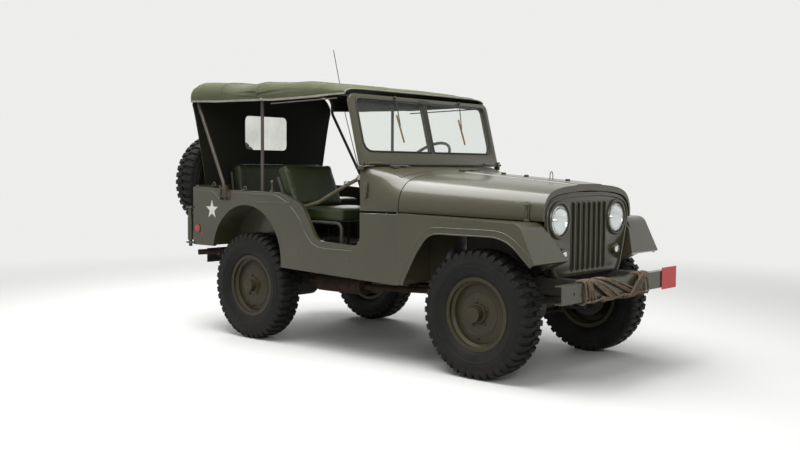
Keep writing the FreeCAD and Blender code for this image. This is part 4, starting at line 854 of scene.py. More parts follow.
def padBox(x, y, z, inset):
    low = Vector((x[0] + inset, y[0] + inset, z[0] + inset * 0.4)) / 1000
    high = Vector((x[1] - inset, y[1] - inset, z[1] - inset)) / 1000
    work = bmesh.new()
    bmesh.ops.create_cube(work, size=2)
    bmesh.ops.bevel(work, geom=list(work.edges), offset=0.12, segments=2, profile=0.5, affect="EDGES")
    middle, half = (low + high) / 2, (high - low) / 2
    for vert in work.verts:
        vert.co = Vector([m + h * c for m, h, c in zip(middle, half, vert.co)])
    return meshFrom(work)


def applied(thing):
    made, old = evaluated(thing), thing.data
    thing.modifiers.clear()
    thing.data = made
    bpy.data.meshes.remove(old)


def cornersOf(mesh):
    values = np.empty(len(mesh.vertices) * 3)
    mesh.vertices.foreach_get("co", values)
    return values.reshape(-1, 3)


def puffed(mesh, settings):
    pad = linked("pad", mesh)
    modified(pad, "REMESH", mode="VOXEL", voxel_size=settings["voxel"] / 1000)
    applied(pad)
    start = cornersOf(pad.data)
    cloth = modified(pad, "CLOTH")
    for key, value in settings["cloth"].items():
        setattr(cloth.settings, key, value)
    cloth.settings.uniform_pressure_force = settings["pressure"]
    cloth.settings.effector_weights.gravity = 0
    cloth.collision_settings.use_collision = False
    cloth.point_cache.frame_start = 1
    cloth.point_cache.frame_end = settings["frames"]
    for frameNumber in range(1, settings["frames"] + 1):
        scene.frame_set(frameNumber)
        bpy.context.view_layer.update()
    applied(pad)
    scene.frame_set(1)
    move = cornersOf(pad.data) - start
    far = np.linalg.norm(move, axis=1, keepdims=True)
    move *= np.minimum(1, settings["cap"] / 1000 / np.maximum(far, 1e-9))
    pad.data.vertices.foreach_set("co", (start + move).ravel())
    modified(pad, "SUBSURF", levels=1, render_levels=1)
    return used(pad)


def addSeats(settings):
    for name, (node, x, y, z, (station, height, tall, thick, lean)) in settings["seats"].items():
        lying = moved(padBox(x, y, z, settings["inset"]), Matrix.Translation(Vector((0, frontAxle, 0))))
        upright = moved(padBox(x, (0, thick), (0, tall), settings["inset"]),
                        Matrix.Translation(spot(0, station, height)) @ rotation(-lean, "X"))
        for part, mesh in (("cushion", lying), ("back", upright)):
            piece = newPiece(f"{name}_{part}", puffed(mesh, settings), "vinyl", replaced=node)


addSeats(seatSettings)
print("scene: seats made")


# rope on the bumper

ropeSettings = {
    "strand": {"Strands": 3, "Radius": 0.0036, "Turns": 26, "Step": 0.0035}, "out": 8.5,
    "front": -590, "rear": -542, "low": 493, "high": 600,
    # first and last place of the strands over the top, the same under the foot, strands, layer, slack
    "bundles": [((-455, -385), (-448, -330), 4, 0, 14), ((-432, -372), (-120, 0), 5, 1, 5),
                ((225, 292), (-20, 60), 4, 2, 6), ((-300, -250), (160, 262), 3, 0, 4),
                ((170, 240), (225, 285), 3, 1, 10)],
    "runs": [(-440, 60, 487), (-250, 270, 486)],
    "knots": [(-262, -606, 492, 17), (212, -604, 590, 14)],
}


def ropeTurn(rope, start, end, lift, slack, bow):
    front, rear = rope.front - rope.out - lift, rope.rear + rope.out
    low, high = rope.low - rope.out - lift * 0.6, rope.high + rope.out
    span, middle = end - start, (front + rear) / 2
    return [(start, rear, high - 40), (start, rear, high), (start + span * 0.04, middle, high + 3),
            (start + span * 0.10, front + 2, high - 2), (start + span * 0.34 + bow, front - 3, high - 34),
            (start + span * 0.66 + bow, front - 4, low + 40), (end - span * 0.12, front, low + 6 - slack * 0.4),
            (end - span * 0.06, middle, low - slack), (end, rear, low), (end, rear, low + 40)]


def addRope(settings):
    rope = SimpleNamespace(**settings)
    picked = random.Random(11)
    lines = []
    for tops, feet, count, layer, slack in rope.bundles:
        for i in range(count):
            share = i / max(1, count - 1)
            start = tops[0] + (tops[1] - tops[0]) * share + picked.uniform(-7, 7)
            end = feet[0] + (feet[1] - feet[0]) * share + picked.uniform(-16, 16)
            lines.append(ropeTurn(rope, start, end, 7.2 * layer + 2.4 * (i % 2), picked.uniform(0, slack),
                                  picked.uniform(-26, 26)))
    for start, end, height in rope.runs:
        front = rope.front - rope.out * 2
        lines.append([(start + (end - start) * k / 7, front - picked.uniform(0, 6), height + picked.uniform(-6, 14))
                      for k in range(8)])
    for x, y, z, radius in rope.knots:
        lines.append([(x + radius * math.cos(k * 0.9) * (0.6 + 0.05 * k), y - 6 * math.sin(k * 0.45),
                       z + radius * 0.8 * math.sin(k * 0.9)) for k in range(13)])
    meshes = [grown("strand", {**rope.strand, "Finish": finishes["rope"]},
                    linked("ropeLine", tubeCurve([spot(*place) for place in line], 0))) for line in lines]
    newPiece("bumper_rope_strands", meshes, "rope", replaced="bumper_rope")


addRope(ropeSettings)
print("scene: rope wound")


# wheel trim

wheelTrimSettings = {
    # radius and depth of the heads, radius of their ring, its place along the axle, count, phase
    "nuts": (8.5, 8, 74, 39.5, 5, 0.1), "endBolts": (4.0, 3.0, 23, 91.5, 6, 0.0),
    "capBolts": (5.5, 6, 56, 49, 8, 0.5),
    # along the axle outward from the tyre's middle, radius
    "grooves": {
        "front": [(31.5, 128), (33.6, 130), (32.6, 134), (29.5, 135), (30.5, 128), (31.5, 128)],
        "rear": [(27.2, 148), (29.4, 150), (28.4, 154), (25.2, 155), (26.2, 148), (27.2, 148)],
    },
    "capRim": {
        "front": [(41, 63), (49, 62), (52, 56), (49, 51), (41, 50), (41, 63)],
        "rear": [(41, 56), (46, 55), (48, 50), (46, 46), (41, 45), (41, 56)],
    },
    "flange": [(39, 43), (39, 62), (45, 62), (50, 46), (50, 43), (39, 43)],
    "valve": [(14, 0.01), (14, 4), (28, 4), (28, 3), (40, 3), (40, 0.01)], "valvePlace": (12, 0, -150),
}


def boltRing(radius, deep, ring, face, count, phase):
    head = moved(hexHead(radius, deep), Matrix.Translation(Vector((face, 0, ring)) / 1000))
    return around(head, count, "rimPaint", phase)


def addWheelTrim(nuts, endBolts, capBolts, grooves, capRim, flange, valve, valvePlace):
    for end in ("front", "rear"):
        for side, sign in carSides.items():
            meshes = [boltRing(*nuts), turned(grooves[end], 64), turned(capRim[end], 48), turned(flange, 48),
                      boltRing(*endBolts), moved(turned(valve, 12), Matrix.Translation(Vector(valvePlace) / 1000))]
            if end == "front":
                meshes.append(boltRing(*capBolts))
            mesh = moved(joined(meshes), wheelPlace(f"tyre_{end}_{side}", 0 if sign > 0 else 180))
            newPiece(f"wheel_trim_{end}_{side}", mesh, "rimPaint", 30, f"wheel_{end}_{side}")
    mesh = moved(joined([turned(grooves["rear"], 64), boltRing(*nuts)]), wheelPlace("spare_tyre", 90))
    newPiece("spare_wheel_trim", mesh, "rimPaint", 30, "spare_carrier")


addWheelTrim(**wheelTrimSettings)
print("scene: wheels trimmed")


# lamps

lampSettings = {
    "front": -344, "headlamp": (334, 942), "marker": (307, 742),
    # piece, finish, slot, then the lamp that each part belongs to, its steps and its outline:
    # along the car from the grille's face towards the rear, radius
    "pieces": {
        "headlamp_bezel": ("bodyPaint", "body_paint", [
            ("headlamp", 72, [(1, 113), (-6, 113), (-12, 108), (-13, 101), (-9, 97), (1, 97), (1, 113)]),
            ("marker", 40, [(0.5, 33), (-22, 33), (-27, 31), (-27, 26), (-8, 24), (-6, 0.01), (-1, 0.01), (0.5, 33)])]),
        "headlamp_ring": ("rubberBlack", "body_paint", [
            ("headlamp", 64, [(1, 98), (-5, 98), (-7, 94), (-4, 89), (1, 89), (1, 98)])]),
        "headlamp_bowl": ("lampSilver", "lamp_glass", [
            ("headlamp", 64, [(-2, 90), (7, 84), (20, 66), (31, 42), (37, 16), (38, 0.01), (42, 0.01), (41, 17),
                              (35, 45), (23, 70), (9, 88), (-1, 92), (-2, 90)]),
            ("headlamp", 20, [(36, 0.01), (36, 12), (22, 11), (14, 7), (10, 0.01)]),
            ("marker", 32, [(-10, 0.01), (-10, 23.5), (-23, 23.5), (-15, 12), (-13, 0.01)])]),
        "headlamp_lens": ("lampLens", "lamp_glass", [
            ("headlamp", 64, [(-3, 90), (-8, 84), (-12, 62), (-15, 32), (-16, 0.01), (-13, 0.01), (-12, 31), (-9, 60),
                              (-5, 83), (-1, 88), (-3, 90)]),
            ("marker", 40, [(-24, 25), (-33, 22), (-39, 12), (-40, 0.01), (-36, 0.01), (-35, 11), (-30, 20),
                            (-23, 23), (-24, 25)])]),
    },
}


def addLamps(settings):
    for side, sign in carSides.items():
        for name, (finish, slot, parts) in settings["pieces"].items():
            meshes = [placed(turned(line, steps, "Y"), settings[lamp][0] * sign, settings["front"], settings[lamp][1])
                      for lamp, steps, line in parts]
            newPiece(f"{name}_{side}", meshes, finish, 38, replaced="lamps")


addLamps(lampSettings)


# tail lamps and reflectors

tailSettings = {
    "lens": [(-1, 31), (3, 31), (6, 21.7), (7.5, 0.01), (-1, 0.01), (-1, 31)], "lensPlace": (630, 2714.3, 800),
    "can": [(-1, 0.01), (-1, 38), (29, 38), (34.3, 34), (34.3, 0.01)], "canPlace": (630, 2680, 800),
    "disc": [(-1, 30), (5, 30), (7, 20.4), (7.4, 0.01), (-1, 0.01), (-1, 30)],
    "rim": [(-1, 34), (5, 34), (7, 32), (5, 29), (-1, 29), (-1, 34)], "reflector": (735, 2625, 782),
    "dot": [(-1, 7), (2, 7), (3, 0.01), (-1, 0.01), (-1, 7)], "dotPlace": (735, 2566, 748), "steps": 40,
}


def addTailLamps(lens, lensPlace, can, canPlace, disc, rim, reflector, dot, dotPlace, steps):
    def onSide(outline, place, sign, count=steps):
        return placed(outwards(turned(outline, count), sign), place[0] * sign, *place[1:])

    def behind(outline, place, sign):
        return placed(turned(outline, steps, "Y"), place[0] * sign, *place[1:])

    lenses = [make(outline, place, sign) for sign in (-1, 1)
              for make, outline, place in ((behind, lens, lensPlace), (onSide, disc, reflector))]
    rims = [make(outline, place, sign) for sign in (-1, 1)
            for make, outline, place in ((behind, can, canPlace), (onSide, rim, reflector))]
    newPiece("tail_lenses", lenses + [onSide(dot, dotPlace, -1, 16)], "redGlass", 30)
    newPiece("tail_lamps", rims, "bodyPaint", crease=30)


addTailLamps(**tailSettings)


# painted star and blank plate

signSettings = {"star": (-735.4, 2448, 930), "radii": (73, 29.2), "skin": 1.2,
                "plate": ((487, 686), (-597, -594), (480, 620))}


def addSigns(star, radii, skin, plate):
    x, y, z = star
    turns = [(radii[i % 2], math.pi / 2 + math.pi * i / 5) for i in range(10)]
    points = [spot(side, y + radius * math.cos(angle), z + radius * math.sin(angle))
              for side in (x, x + skin) for radius, angle in turns]
    faces = [tuple(range(10)), tuple(range(19, 9, -1))] + gridFaces(2, 10, roundColumns=True)
    newPiece("painted_star", outward(meshOf(points, faces)), "whitePaint", crease=0)
    newPiece("blank_plate", carBox(*plate, 1.0), "redPaint", crease=0)


addSigns(**signSettings)
print("scene: lamps and signs made")


# grille and hood trim

grilleSettings = {
    "half": 484, "low": 600, "top": 1100, "front": -344, "roll": 7,
    "shares": [(.75, 0), (.84, .10), (.98, .60), (1, .72), (.965, .85), (.86, .925), (.70, .963), (.36, .99),
               (0, .993)],
    "pitch": 61, "slotHalf": 17.5, "slotLow": 630, "slotHigh": 1045, "wall": 3,
}
grille = SimpleNamespace(**grilleSettings)


def slotRing(i, grow, steps):
    # places across and up round slot i, where 12 steps make half a turn
    radius = grille.slotHalf + grow
    return [Vector((grille.pitch * i + radius * math.cos(math.pi * k / 12),
                    (grille.slotHigh - grille.slotHalf if k <= 12 else grille.slotLow + grille.slotHalf)
                    + radius * math.sin(math.pi * k / 12))) for k in steps]


def addGrilleTrim():
    inset = grille.roll + 1
    line = [(a * grille.half - inset, grille.low + (grille.top - grille.low) * b - inset * b) for a, b in grille.shares]
    whole = line[:-1] + [(-a, b) for a, b in line[::-1]]
    meshes = [rod([(a, grille.front - grille.roll * 0.35, b) for a, b in whole], grille.roll, resolution=6, sides=3,
                  smooth=True)]
    for i in range(-3, 4):
        meshes.append(ringTube([spot(p.x, grille.front - 1.0, p.y) for p in slotRing(i, grille.wall / 2, range(24))],
                               grille.wall))
    newPiece("grille_trim", meshes, "bodyPaint", crease=50)


addGrilleTrim()


hoodTrimSettings = {"latch": (541, -255, 940, 1046), "loop": (-70, 11, 48, 2.6), "clamps": [-190, 120, 300],
                    "front": (-349, 1154), "slope": 74 / 942}


def hoodTop(y):
    station, height = hoodTrimSettings["front"]
    return height + hoodTrimSettings["slope"] * (y - station)


def addHoodTrim(settings):
    meshes = []
    for sign in (-1, 1):
        x, y, low, high = settings["latch"]
        x *= sign
        meshes += [rod([(x, y + shift, low + 4), (x, y + shift, high - 6)], 3.2) for shift in (-9, 9)]
        meshes += [carBox((x - wide, x + wide), (y - deep, y + deep), heights)
                   for wide, deep, heights in ((8, 17, (low - 2, low + 10)), (6, 14, (high - 14, high - 4)),
                                               (5, 5, (low + 8, high - 40)))]
        meshes.append(rod([(x - out * sign, y + along, high + up) for out, along, up in
                           ((0, -14, -9), (3, -16, 6), (9, 0, 8), (3, 16, 6), (0, 14, -9))], 3, smooth=True))
    newPiece("hood_latches", meshes, "bodyPaint", crease=40)
    y, wide, tall, wire = settings["loop"]
    z = hoodTop(y) + 5
    meshes = [rod([(0, y + wide * a, z + up) for a, up in
                   ((-1, -3), (-1, tall * 0.6), (-0.5, tall), (0.5, tall), (1, tall * 0.6), (1, -3))], wire,
                  smooth=True)]
    for station in settings["clamps"]:
        top = hoodTop(station) + 4
        meshes += [carBox((-16, 16), (station - 9, station + 9), (top - 3, top + 7)),
                   placed(turned([(-20, 0.01), (-20, 5), (20, 5), (20, 0.01)], 12), 0, station, top + 8)]
    newPiece("hood_fittings", meshes, "chassisPaint", crease=40, body="hood")


addHoodTrim(hoodTrimSettings)


# windshield fittings

screenSettings = {
    "foot": (880, 1270), "angle": 14.6, "half": 742, "tall": 478, "thick": 32,
    # inner and outer edge, lower and upper edge, rounds of the outer corners and of the inner ones
    "pane": (12, 690, 88, 446, 80, 40, 12),
    # pivot, middle and lower end of the wiper, across and up the frame
    "wipers": [((-305, 468), (-322, 345), (-296, 152)), ((397, 466), (352, 340), (372, 152))],
    "bolts": [60, 120, 180, 240, 300, 360, 420], "cowlBolts": [(740, 852, 1100), (740, 852, 1120), (740, 852, 1140)],
    # boxes of the clamps: across, station, height, bevel
    "clampBoxes": [((735, 747), (868, 915), (1236, 1262), 3), ((722, 745), (866, 882), (1258, 1296), 3),
                   ((735, 740), (838, 868), (1086, 1152), 2)],
    # rods of the clamps and the hinge: from, to, radius
    "clampRods": [((734, 858, 1272), (700, 858, 1272), 9), ((728, 874, 1272), (728, 846, 1272), 6),
                  ((560, 874.5, 1275.5), (690, 874.5, 1275.5), 11)],
}
screen = SimpleNamespace(**screenSettings)


def onScreen(across, up, out):
    y, z = screen.foot
    s, c = math.sin(math.radians(screen.angle)), math.cos(math.radians(screen.angle))
    return spot(across, y + up * s - out * c, z + up * c + out * s)


def paneLoop(sign, steps=6):
    inner, outer, low, high, lowRound, highRound, innerRound = screen.pane
    return roundedLoop([(inner * sign, low, innerRound), (outer * sign, low, lowRound),
                        (outer * sign, high, highRound), (inner * sign, high, innerRound)], steps)


def addScreenTrim():
    y, z = screen.foot
    meshes = [ringTube([onScreen(p.x, p.y, out) for p in paneLoop(sign)], radius)
              for sign in (-1, 1) for out, radius in ((0.5, 5.5), (-screen.thick - 0.5, 4.5))]
    meshes.append(rod([(-735, y - 4, z - 2), (735, y - 4, z - 2)], 7))
    newPiece("screen_seals", meshes, "rubberBlack", crease=40)
    meshes, brass = [], []
    for (px, pz), (tx, tz), (lx, lz) in screen.wipers:
        mx, mz = (tx + lx) / 2, (tz + lz) / 2
        meshes += [tubeMesh([onScreen(px, pz, -2), onScreen(px, pz, 16)], 10, smooth=False),
                   tubeMesh([onScreen(px, pz, 13), onScreen((px + tx) / 2, (pz + tz) / 2, 16),
                             onScreen(mx, mz + 20, 12)], 3.5)]
        brass += [tubeMesh([onScreen(tx, tz, 8), onScreen(mx, mz, 9), onScreen(lx, lz, 8)], 5, sides=2),
                  tubeMesh([onScreen(tx, tz, 2.6), onScreen(lx, lz, 2.6)], 2.6, smooth=False)]
    plate = boxMesh((-0.05, -0.004, -0.016), (0.05, 0.004, 0.016), 0.001)
    meshes.append(moved(plate, Matrix.Translation(onScreen(0, 452, 2)) @ rotation(-screen.angle, "X")))
    newPiece("wiper_arms", meshes, "chassisPaint", crease=40)
    newPiece("wiper_blades", brass, "wiperBrass", crease=40)
    s, c = math.sin(math.radians(screen.angle)), math.cos(math.radians(screen.angle))
    meshes = sideBolts(4.5, 3.5, [(screen.half, y + up * s + 16 * c, z + up * c - 16 * s) for up in screen.bolts])
    meshes += sideBolts(4, 3, screen.cowlBolts, [-1])
    for sign in (-1, 1):
        meshes += [carBox(*box, sign) for box in screen.clampBoxes]
        meshes += [rod([(x * sign, *rest) for x, *rest in ends], radius) for *ends, radius in screen.clampRods]
        meshes.append(placed(outwards(hexHead(13, 9), sign), 735 * sign, 857, 1066))
    newPiece("screen_clamps", meshes, "bodyPaint", crease=35)


addScreenTrim()
print("scene: hood and windshield fitted")


# trim of the canvas

canvasTrimSettings = {
    "cord": 4.0, "seams": (1915, 2330), "seam": (16, 3.2), "hem": (15, 3.0), "edge": 4.5, "foot": (18, 5),
    "snap": [(-2, 8), (3, 7), (5, 0.01), (-2, 0.01), (-2, 8)], "snapPlace": (742, 1869),
}


def addCanvasTrim(cord, seams, seam, hem, edge, foot, snap, snapPlace):
    meshes = []
    for side in (-1, 1):
        line = [roofPoint(roof.run * k / 44, side) for k in range(45)]
        meshes.append(strip([(x + side, y, z) for x, y, z in line], *hem, (0, 0, 1)))
    meshes.append(rod([roofPoint(0, -1 + 2 * k / 40) for k in range(41)], edge, smooth=True))
    newPiece("canopy_binding", meshes, "binding", 50)
    meshes = []
    for station in seams:
        line = [foldedRoof(station - roof.start, -1 + 2 * k / 60) for k in range(3, 58)]
        meshes.append(strip([(x, y, z + 0.4) for x, y, z in line], *seam, (0, 1, 0)))
    newPiece("canopy_seams", meshes, "canvas", 50)
    station, low = curtain.station, curtain.foot
    heights = [low + (roof.skirt - low) * k / 30 for k in range(31)]
    meshes = [rod([(side * (curtainHalf(z) - 2), station, z) for z in heights], cord, smooth=True)
              for side in (-1, 1)]
    meshes.append(strip([(curtain.footHalf * side, station, low + 8) for side in (-1, 1)], *foot, (0, 0, 1)))
    wide, bottom, top, corner = curtain.window
    ring = roundedLoop([(-wide, bottom, corner), (wide, bottom, corner), (wide, top, corner), (-wide, top, corner)])
    meshes.append(ringTube([spot(p.x, station, p.y) for p in ring], cord))
    newPiece("curtain_piping", meshes, "canvas", 50)
    x, y = snapPlace
    z = roofPoint(y - roof.start, -1)[2] + 4
    snaps = [placed(outwards(turned(snap, 16), -1), -x - 2, y, z), placed(turned(snap, 16), x + 2, y, z)]
    newPiece("canvas_snaps", snaps, "bareSteel")


addCanvasTrim(**canvasTrimSettings)


# fittings of the body

bodySettings = {
    "socket": (735, (2262, 2318), (1006, 1112)), "wall": 5,
    "hooks": [(-719, 2441, 1112), (-719, 2078, 1088), (719, 2441, 1112), (719, 2078, 1088)],
    "stalk": (719, 1780, 1082, 1146), "ball": [(-12, 0.01), (-9, 9), (0, 13), (9, 9), (12, 0.01)],
    "ridge": [(736, 1560, 1003), (736, 1950, 1000)],
    # thin near-black strips on the bumper's face, painted shade for its slots: across and heights
    "bumperMarks": [((-480, -410), (567, 571)), ((-491, -486), (528, 544))],
    "seamBolts": [(735, 1210, 640), (735, 1000, 640), (735, 1500, 660)],
    "strap": [(-708, 930, 1180), (-690, 1080, 1128), (-668, 1240, 1068), (-655, 1370, 1012), (-648, 1500, 981),
              (-640, 1590, 978)],
    "buckle": ((-730, -704), (905, 935), (1168, 1200), 3),
    "beltHook": [(-690, 1066, 1142), (-688, 1078, 1160), (-680, 1100, 1150), (-684, 1100, 1122)],
}


def addBowSockets(socket, wall):
    x, (near, far), (low, high) = socket
    meshes = []
    for sign in (-1, 1):
        meshes += [carBox((x, x + 30), (y - wall / 2, y + wall / 2), (low, high), 1, sign) for y in (near, far)]
        meshes.append(carBox((x, x + 4), (near - 26, far + 26), (low + 10, low + 60), 1, sign))
        meshes += [rod([((x + 18) * sign, near - 8, z), ((x + 18) * sign, far + 8, z)], 6)
                   for z in (low + 26, high - 20)]
    bolts = [(x + 3, (near + far) / 2 + way * 42, low + 35) for way in (-1, 1)]
    newPiece("bow_sockets", meshes + sideBolts(5, 4, bolts, finish="bowPaint"), "bowPaint", crease=35)


def addBodyFittings(settings):
    body = SimpleNamespace(**settings)
    addBowSockets(body.socket, body.wall)
    meshes = []
    for x, y, z in body.hooks:
        meshes += [rod([(x, y + along, z + up) for along, up in ((-17, -4), (-16, 14), (0, 24), (16, 14), (17, -4))],
                       4, smooth=True),
                   carBox((x - 9, x + 9), (y - 26, y + 26), (z - 3, z + 2), 1)]
    x, y, low, high = body.stalk
    for sign in (-1, 1):
        meshes += [rod([(x * sign, y, low - 4), (x * sign, y, high)], 6),
                   placed(turned(body.ball, 20, "Z"), x * sign, y, high),
                   carBox((x - 10, x + 10), (y - 14, y + 14), (low - 6, low + 6), 2, sign)]
    newPiece("rail_fittings", meshes, "bowPaint", crease=40)
    meshes = [rod([(x * sign, y, z) for x, y, z in body.ridge], 4) for sign in (-1, 1)]
    newPiece("side_ridges", meshes + sideBolts(5, 3, body.seamBolts), "bodyPaint", crease=40)
    # the bumper's slots are painted shade: flat near-black strips on its face, not openings
    meshes = [carBox(across, (-590.6, -588), heights, 0.2) for across, heights in body.bumperMarks]
    newPiece("bumper_slots", meshes, "blackAndShadeFill", crease=0)
    newPiece("seat_belt", strip(body.strap, 27, 3, (0.25, 0.25, 1)), "webbing")
    newPiece("belt_fittings", [carBox(*body.buckle), rod(body.beltHook, 5, smooth=True)], "bareSteel")


addBodyFittings(bodySettings)


# inside

insideSettings = {
    "gauges": [(250, 1165, 48), (340, 1178, 24), (190, 1178, 24), (300, 1110, 18), (220, 1110, 18)],
    "gaugeStation": 905.5, "pedals": [(290, 760, 700), (375, 755, 700), (450, 765, 690)],
}


def addInside(gauges, gaugeStation, pedals):
    faces, rims = [], []
    for x, z, radius in gauges:
        for meshes, outline in (
                (faces, [(-2, radius - 3), (2, radius - 3), (2, 0.01), (-2, 0.01), (-2, radius - 3)]),
                (rims, [(-2, radius), (5, radius), (6, radius - 3), (2, radius - 4), (-2, radius - 4), (-2, radius)])):
            meshes.append(placed(turned(outline, 28, "Y"), x, gaugeStation, z))
    newPiece("gauge_faces", faces, "blackAndShadeFill")
    newPiece("gauge_rims", rims, "rubberBlack", crease=35)
    meshes = []
    for x, y, z in pedals:
        pad = boxMesh((-0.028, -0.005, -0.035), (0.028, 0.005, 0.035), 0.003)
        meshes += [moved(pad, Matrix.Translation(spot(x, y + 60, z + 40)) @ rotation(-35, "X")),
                   rod([(x, y + 58, z + 38), (x, y + 20, z - 10), (x, y + 30, 606)], 7, smooth=True)]
    newPiece("pedals", meshes, "chassisPaint", crease=40)


addInside(**insideSettings)
print("scene: body fitted out")


# plates and pressings that stand over the plain solids

def bentRod(places, rounds, radius, steps=6):
    # a rod through the places, each corner rounded by its own length
    points = [spot(*place) for place in places]
    line = [points[0]]
    for before, here, after, room in zip(points, points[1:], points[2:], rounds[1:]):
        room = min(room / 1000, (before - here).length * 0.48, (after - here).length * 0.48)
        first, second = here + (before - here).normalized() * room, here + (after - here).normalized() * room
        for t in (k / steps for k in range(steps + 1)):
            line.append(first * (1 - t) ** 2 + here * 2 * t * (1 - t) + second * t ** 2)
    return tubeMesh(line + [points[-1]], radius, smooth=False)


def grownLoop(loop, amount):
    count = len(loop)
    area = sum(loop[i - 1].x * loop[i].y - loop[i].x * loop[i - 1].y for i in range(count))
    amount = math.copysign(amount, amount * area)
    sides = [(loop[(i + 1) % count] - loop[i - 1]).normalized() for i in range(count)]
    return [point + Vector((along.y, -along.x)) * amount for point, along in zip(loop, sides)]


def plateMesh(outer, holes, place, front, rear, bevel):
    # a flat plate with holes and softly rounded edges; out falls from front to rear
    loops = [outer] + holes
    levels = [(front, 1), (front - bevel * 0.3, 0.3), (front - bevel, 0), (rear + bevel, 0),
              (rear + bevel * 0.3, 0.3), (rear, 1)]
    total = sum(len(loop) for loop in loops)
    points, faces, start = [], [], 0
    for out, share in levels:
        shrunk = [grownLoop(loop, (-bevel if i == 0 else bevel) * share) for i, loop in enumerate(loops)]
        if not points:
            caps = tessellate_polygon([[Vector((p.x, p.y, 0)) for p in loop] for loop in shrunk])
        points += [place(p.x, p.y, out) for loop in shrunk for p in loop]
    for level in (0, len(levels) - 1):
        faces += [tuple(total * level + i for i in face) for face in caps]
    for loop in loops:
        count = len(loop)
        for base in range(start, total * (len(levels) - 1), total):
            faces += [(base + k, base + (k + 1) % count, base + total + (k + 1) % count, base + total + k)
                      for k in range(count)]
        start += count
    return outward(meshOf(points, faces), 1e-6)


pressingSettings = {
    "rises": [0, 0, 0, 3, 5, 7, 9, 12], "round": 32, "plate": 14, "lampRadius": 108.3, "plateBevel": 4,
    "frameCorner": 55, "frameBevel": 6,
    # rods along both sides: place across, radius, station and height of each corner, rounds of the corners
    "sideRods": [
        (732, 6, [(2663, 1072), (2433, 1066), (2314, 968), (2218, 1065), (1723, 1052), (1589, 993), (1485, 900),
                  (1420, 789), (1357, 731), (1282, 705), (971, 703)], [45] * 11),
        (733, 5, [(538, 516), (528, 547), (430, 720), (330, 852), (-240, 852), (-411, 694)], [0, 10, 27, 181, 195, 0]),
        (732.5, 5, [(574, 516), (562, 560), (462, 738), (352, 888), (-250, 888), (-422, 735)],
         [0, 12, 30, 190, 185, 0])],
    # station and height of the nose that closes between fender and grille
    "cheek": [(-440, 711), (-372.2, 848.3), (-360, 869.3), (-341.8, 890.6), (-330, 901.5), (-330, 655), (-409, 693)],
    # a near-black sheet behind the grille's slots, painted shade for the space behind them: its stations, bevel and
    # inset from the grille's outline
    "cheekEdge": 496, "cheekLean": 25, "shroud": (281, 276, 1), "shroudInset": 9,
    "lightRail": [(741, 1108, 1702), (741, 1764, 1692)], "railRadius": 4.5,
}


def addGrillePlate(press):
    side = [(grille.half * a + rise * 0.4, grille.low + (grille.top - grille.low) * b + rise, press.round if b else 0)
            for (a, b), rise in zip(grille.shares, press.rises)]
    outer = roundedLoop(side + [(-x, z, corner) for x, z, corner in side[::-1]])
    holes = [slotRing(i, 0, [*range(13), 12.001, *range(13, 24)]) for i in range(-3, 4)]
    x, z = lampSettings["headlamp"]
    for sign in (-1, 1):
        angles = [k * math.pi / 36 for k in range(72)]
        holes.append([Vector((x * sign + press.lampRadius * math.cos(angle), z + press.lampRadius * math.sin(angle)))
                      for angle in angles])
    plate = plateMesh(outer, holes, lambda across, up, out: spot(across, grille.front - out, up), 0, -press.plate,
                      press.plateBevel)
    newPiece("grille_plate", plate, "bodyPaint", crease=40, replaced="grille")
    # a flat near-black sheet behind the grille: painted shade seen through the slots
    shroud = plateMesh(grownLoop(outer, -press.shroudInset), [], lambda across, up, out: spot(across, -out, up),
                       *press.shroud)
    newPiece("grille_shroud", shroud, "blackAndShadeFill", 0)


def addCheeks(press):
    meshes, count = [], len(press.cheek)
    edge = [(b, a * grille.half) for a, b in grille.shares[:4]]
    for sign in (-1, 1):
        points = []
        for y, z in press.cheek:
            side = between(edge, (z - grille.low) / (grille.top - grille.low))
            ahead = max(0.0, grille.front - y) / 67 * max(0.0, 1 - (z - 727) / 215) * press.cheekLean
            points += [spot((side + 0.5 - ahead) * sign, y, z), spot(press.cheekEdge * sign, y, z)]
        caps = [tuple(range(0, 2 * count, 2)), tuple(range(2 * count - 1, 0, -2))]
        meshes.append(outward(meshOf(points, caps + gridFaces(count, 2, roundRows=True))))
    newPiece("nose_cheeks", meshes, "bodyPaint", crease=40)


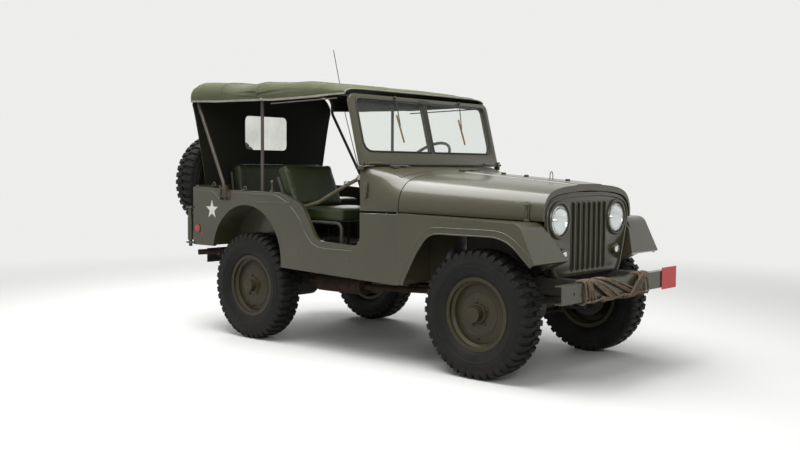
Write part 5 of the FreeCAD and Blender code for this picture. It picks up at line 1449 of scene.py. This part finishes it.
def addPressings(settings):
    press = SimpleNamespace(**settings)
    addGrillePlate(press)
    rails = [rod([(x * sign, y, z) for x, y, z in press.lightRail], press.railRadius) for sign in (-1, 1)]
    newPiece("light_rails", rails, "bowPaint")
    half, tall, corner = screen.half, screen.tall, press.frameCorner
    outer = roundedLoop([(-half, 0, 6), (half, 0, 6), (half, tall, corner), (-half, tall, corner)], 8)
    mesh = plateMesh(outer, [paneLoop(sign, 8) for sign in (-1, 1)], onScreen, 0, -screen.thick, press.frameBevel)
    newPiece("screen_frame", mesh, "bodyPaint", crease=40, replaced="windshield_frame")
    meshes = [bentRod([(x * sign, y, z) for y, z in line], rounds, radius)
              for sign in (-1, 1) for x, radius, line, rounds in press.sideRods]
    newPiece("side_beads", meshes, "bodyPaint", crease=50)
    addCheeks(press)


addPressings(pressingSettings)


ridgeSettings = {
    "ends": (-348, 539), "half": (150, 110), "rise": (7, 3.5), "sink": 10, "rows": 13,
    "shares": [(1, 0), (.97, .55), (.90, .85), (.75, .97), (.40, 1), (0, 1)],
}


def addRidge(ends, half, rise, sink, rows, shares):
    # the raised middle of the hood; its front end runs out into the hood
    across = shares + [(-a, b) for a, b in shares[-2::-1]]
    points, count = [], len(across)
    for k in range(rows):
        t = k / (rows - 1)
        y, wide, high = (a + (b - a) * t for a, b in (ends, half, rise))
        high *= min(1.0, 0.1 + t * 7)
        points += [spot(a * wide, y, hoodTop(y) - sink + (sink + high) * b) for a, b in across]
    caps = [tuple(range(count)), tuple(range(rows * count - 1, (rows - 1) * count - 1, -1))]
    mesh = outward(meshOf(points, gridFaces(rows, count, roundColumns=True) + caps))
    newPiece("hood_ridge", mesh, "bodyPaint", crease=50, body="hood")


addRidge(**ridgeSettings)


leverSettings = {
    # place across, rise and reach of each lever
    "floor": 616.3, "station": 950, "levers": [(0, 280, 140), (70, 210, 70), (140, 210, 70)], "bar": 8, "knob": 19,
    "boot": [(0, 0.01), (0, 34), (6, 33), (14, 24), (22, 20), (28, 12), (36, 8.5), (36, 0.01)], "bend": 60,
}


def addLevers(floor, station, levers, bar, knob, boot, bend):
    meshes, knobs = [], []
    ball = [(-knob * math.cos(k * math.pi / 12), max(0.01, knob * math.sin(k * math.pi / 12))) for k in range(13)]
    for x, rise, reach in levers:
        end = (x, station + reach, floor + rise)
        meshes += [placed(turned(boot, 28, "Z"), x, station, floor),
                   bentRod([(x, station, floor + 20), (x, station, floor + 68), end], [0, bend, 0], bar)]
        knobs.append(placed(turned(ball, 24, "Z"), *end))
    newPiece("gear_levers", meshes, "chassisPaint", 40)
    newPiece("lever_knobs", knobs, "blackPlastic")


addLevers(**leverSettings)
print("scene: pressings and levers made")


# closing
print("scene: finished")
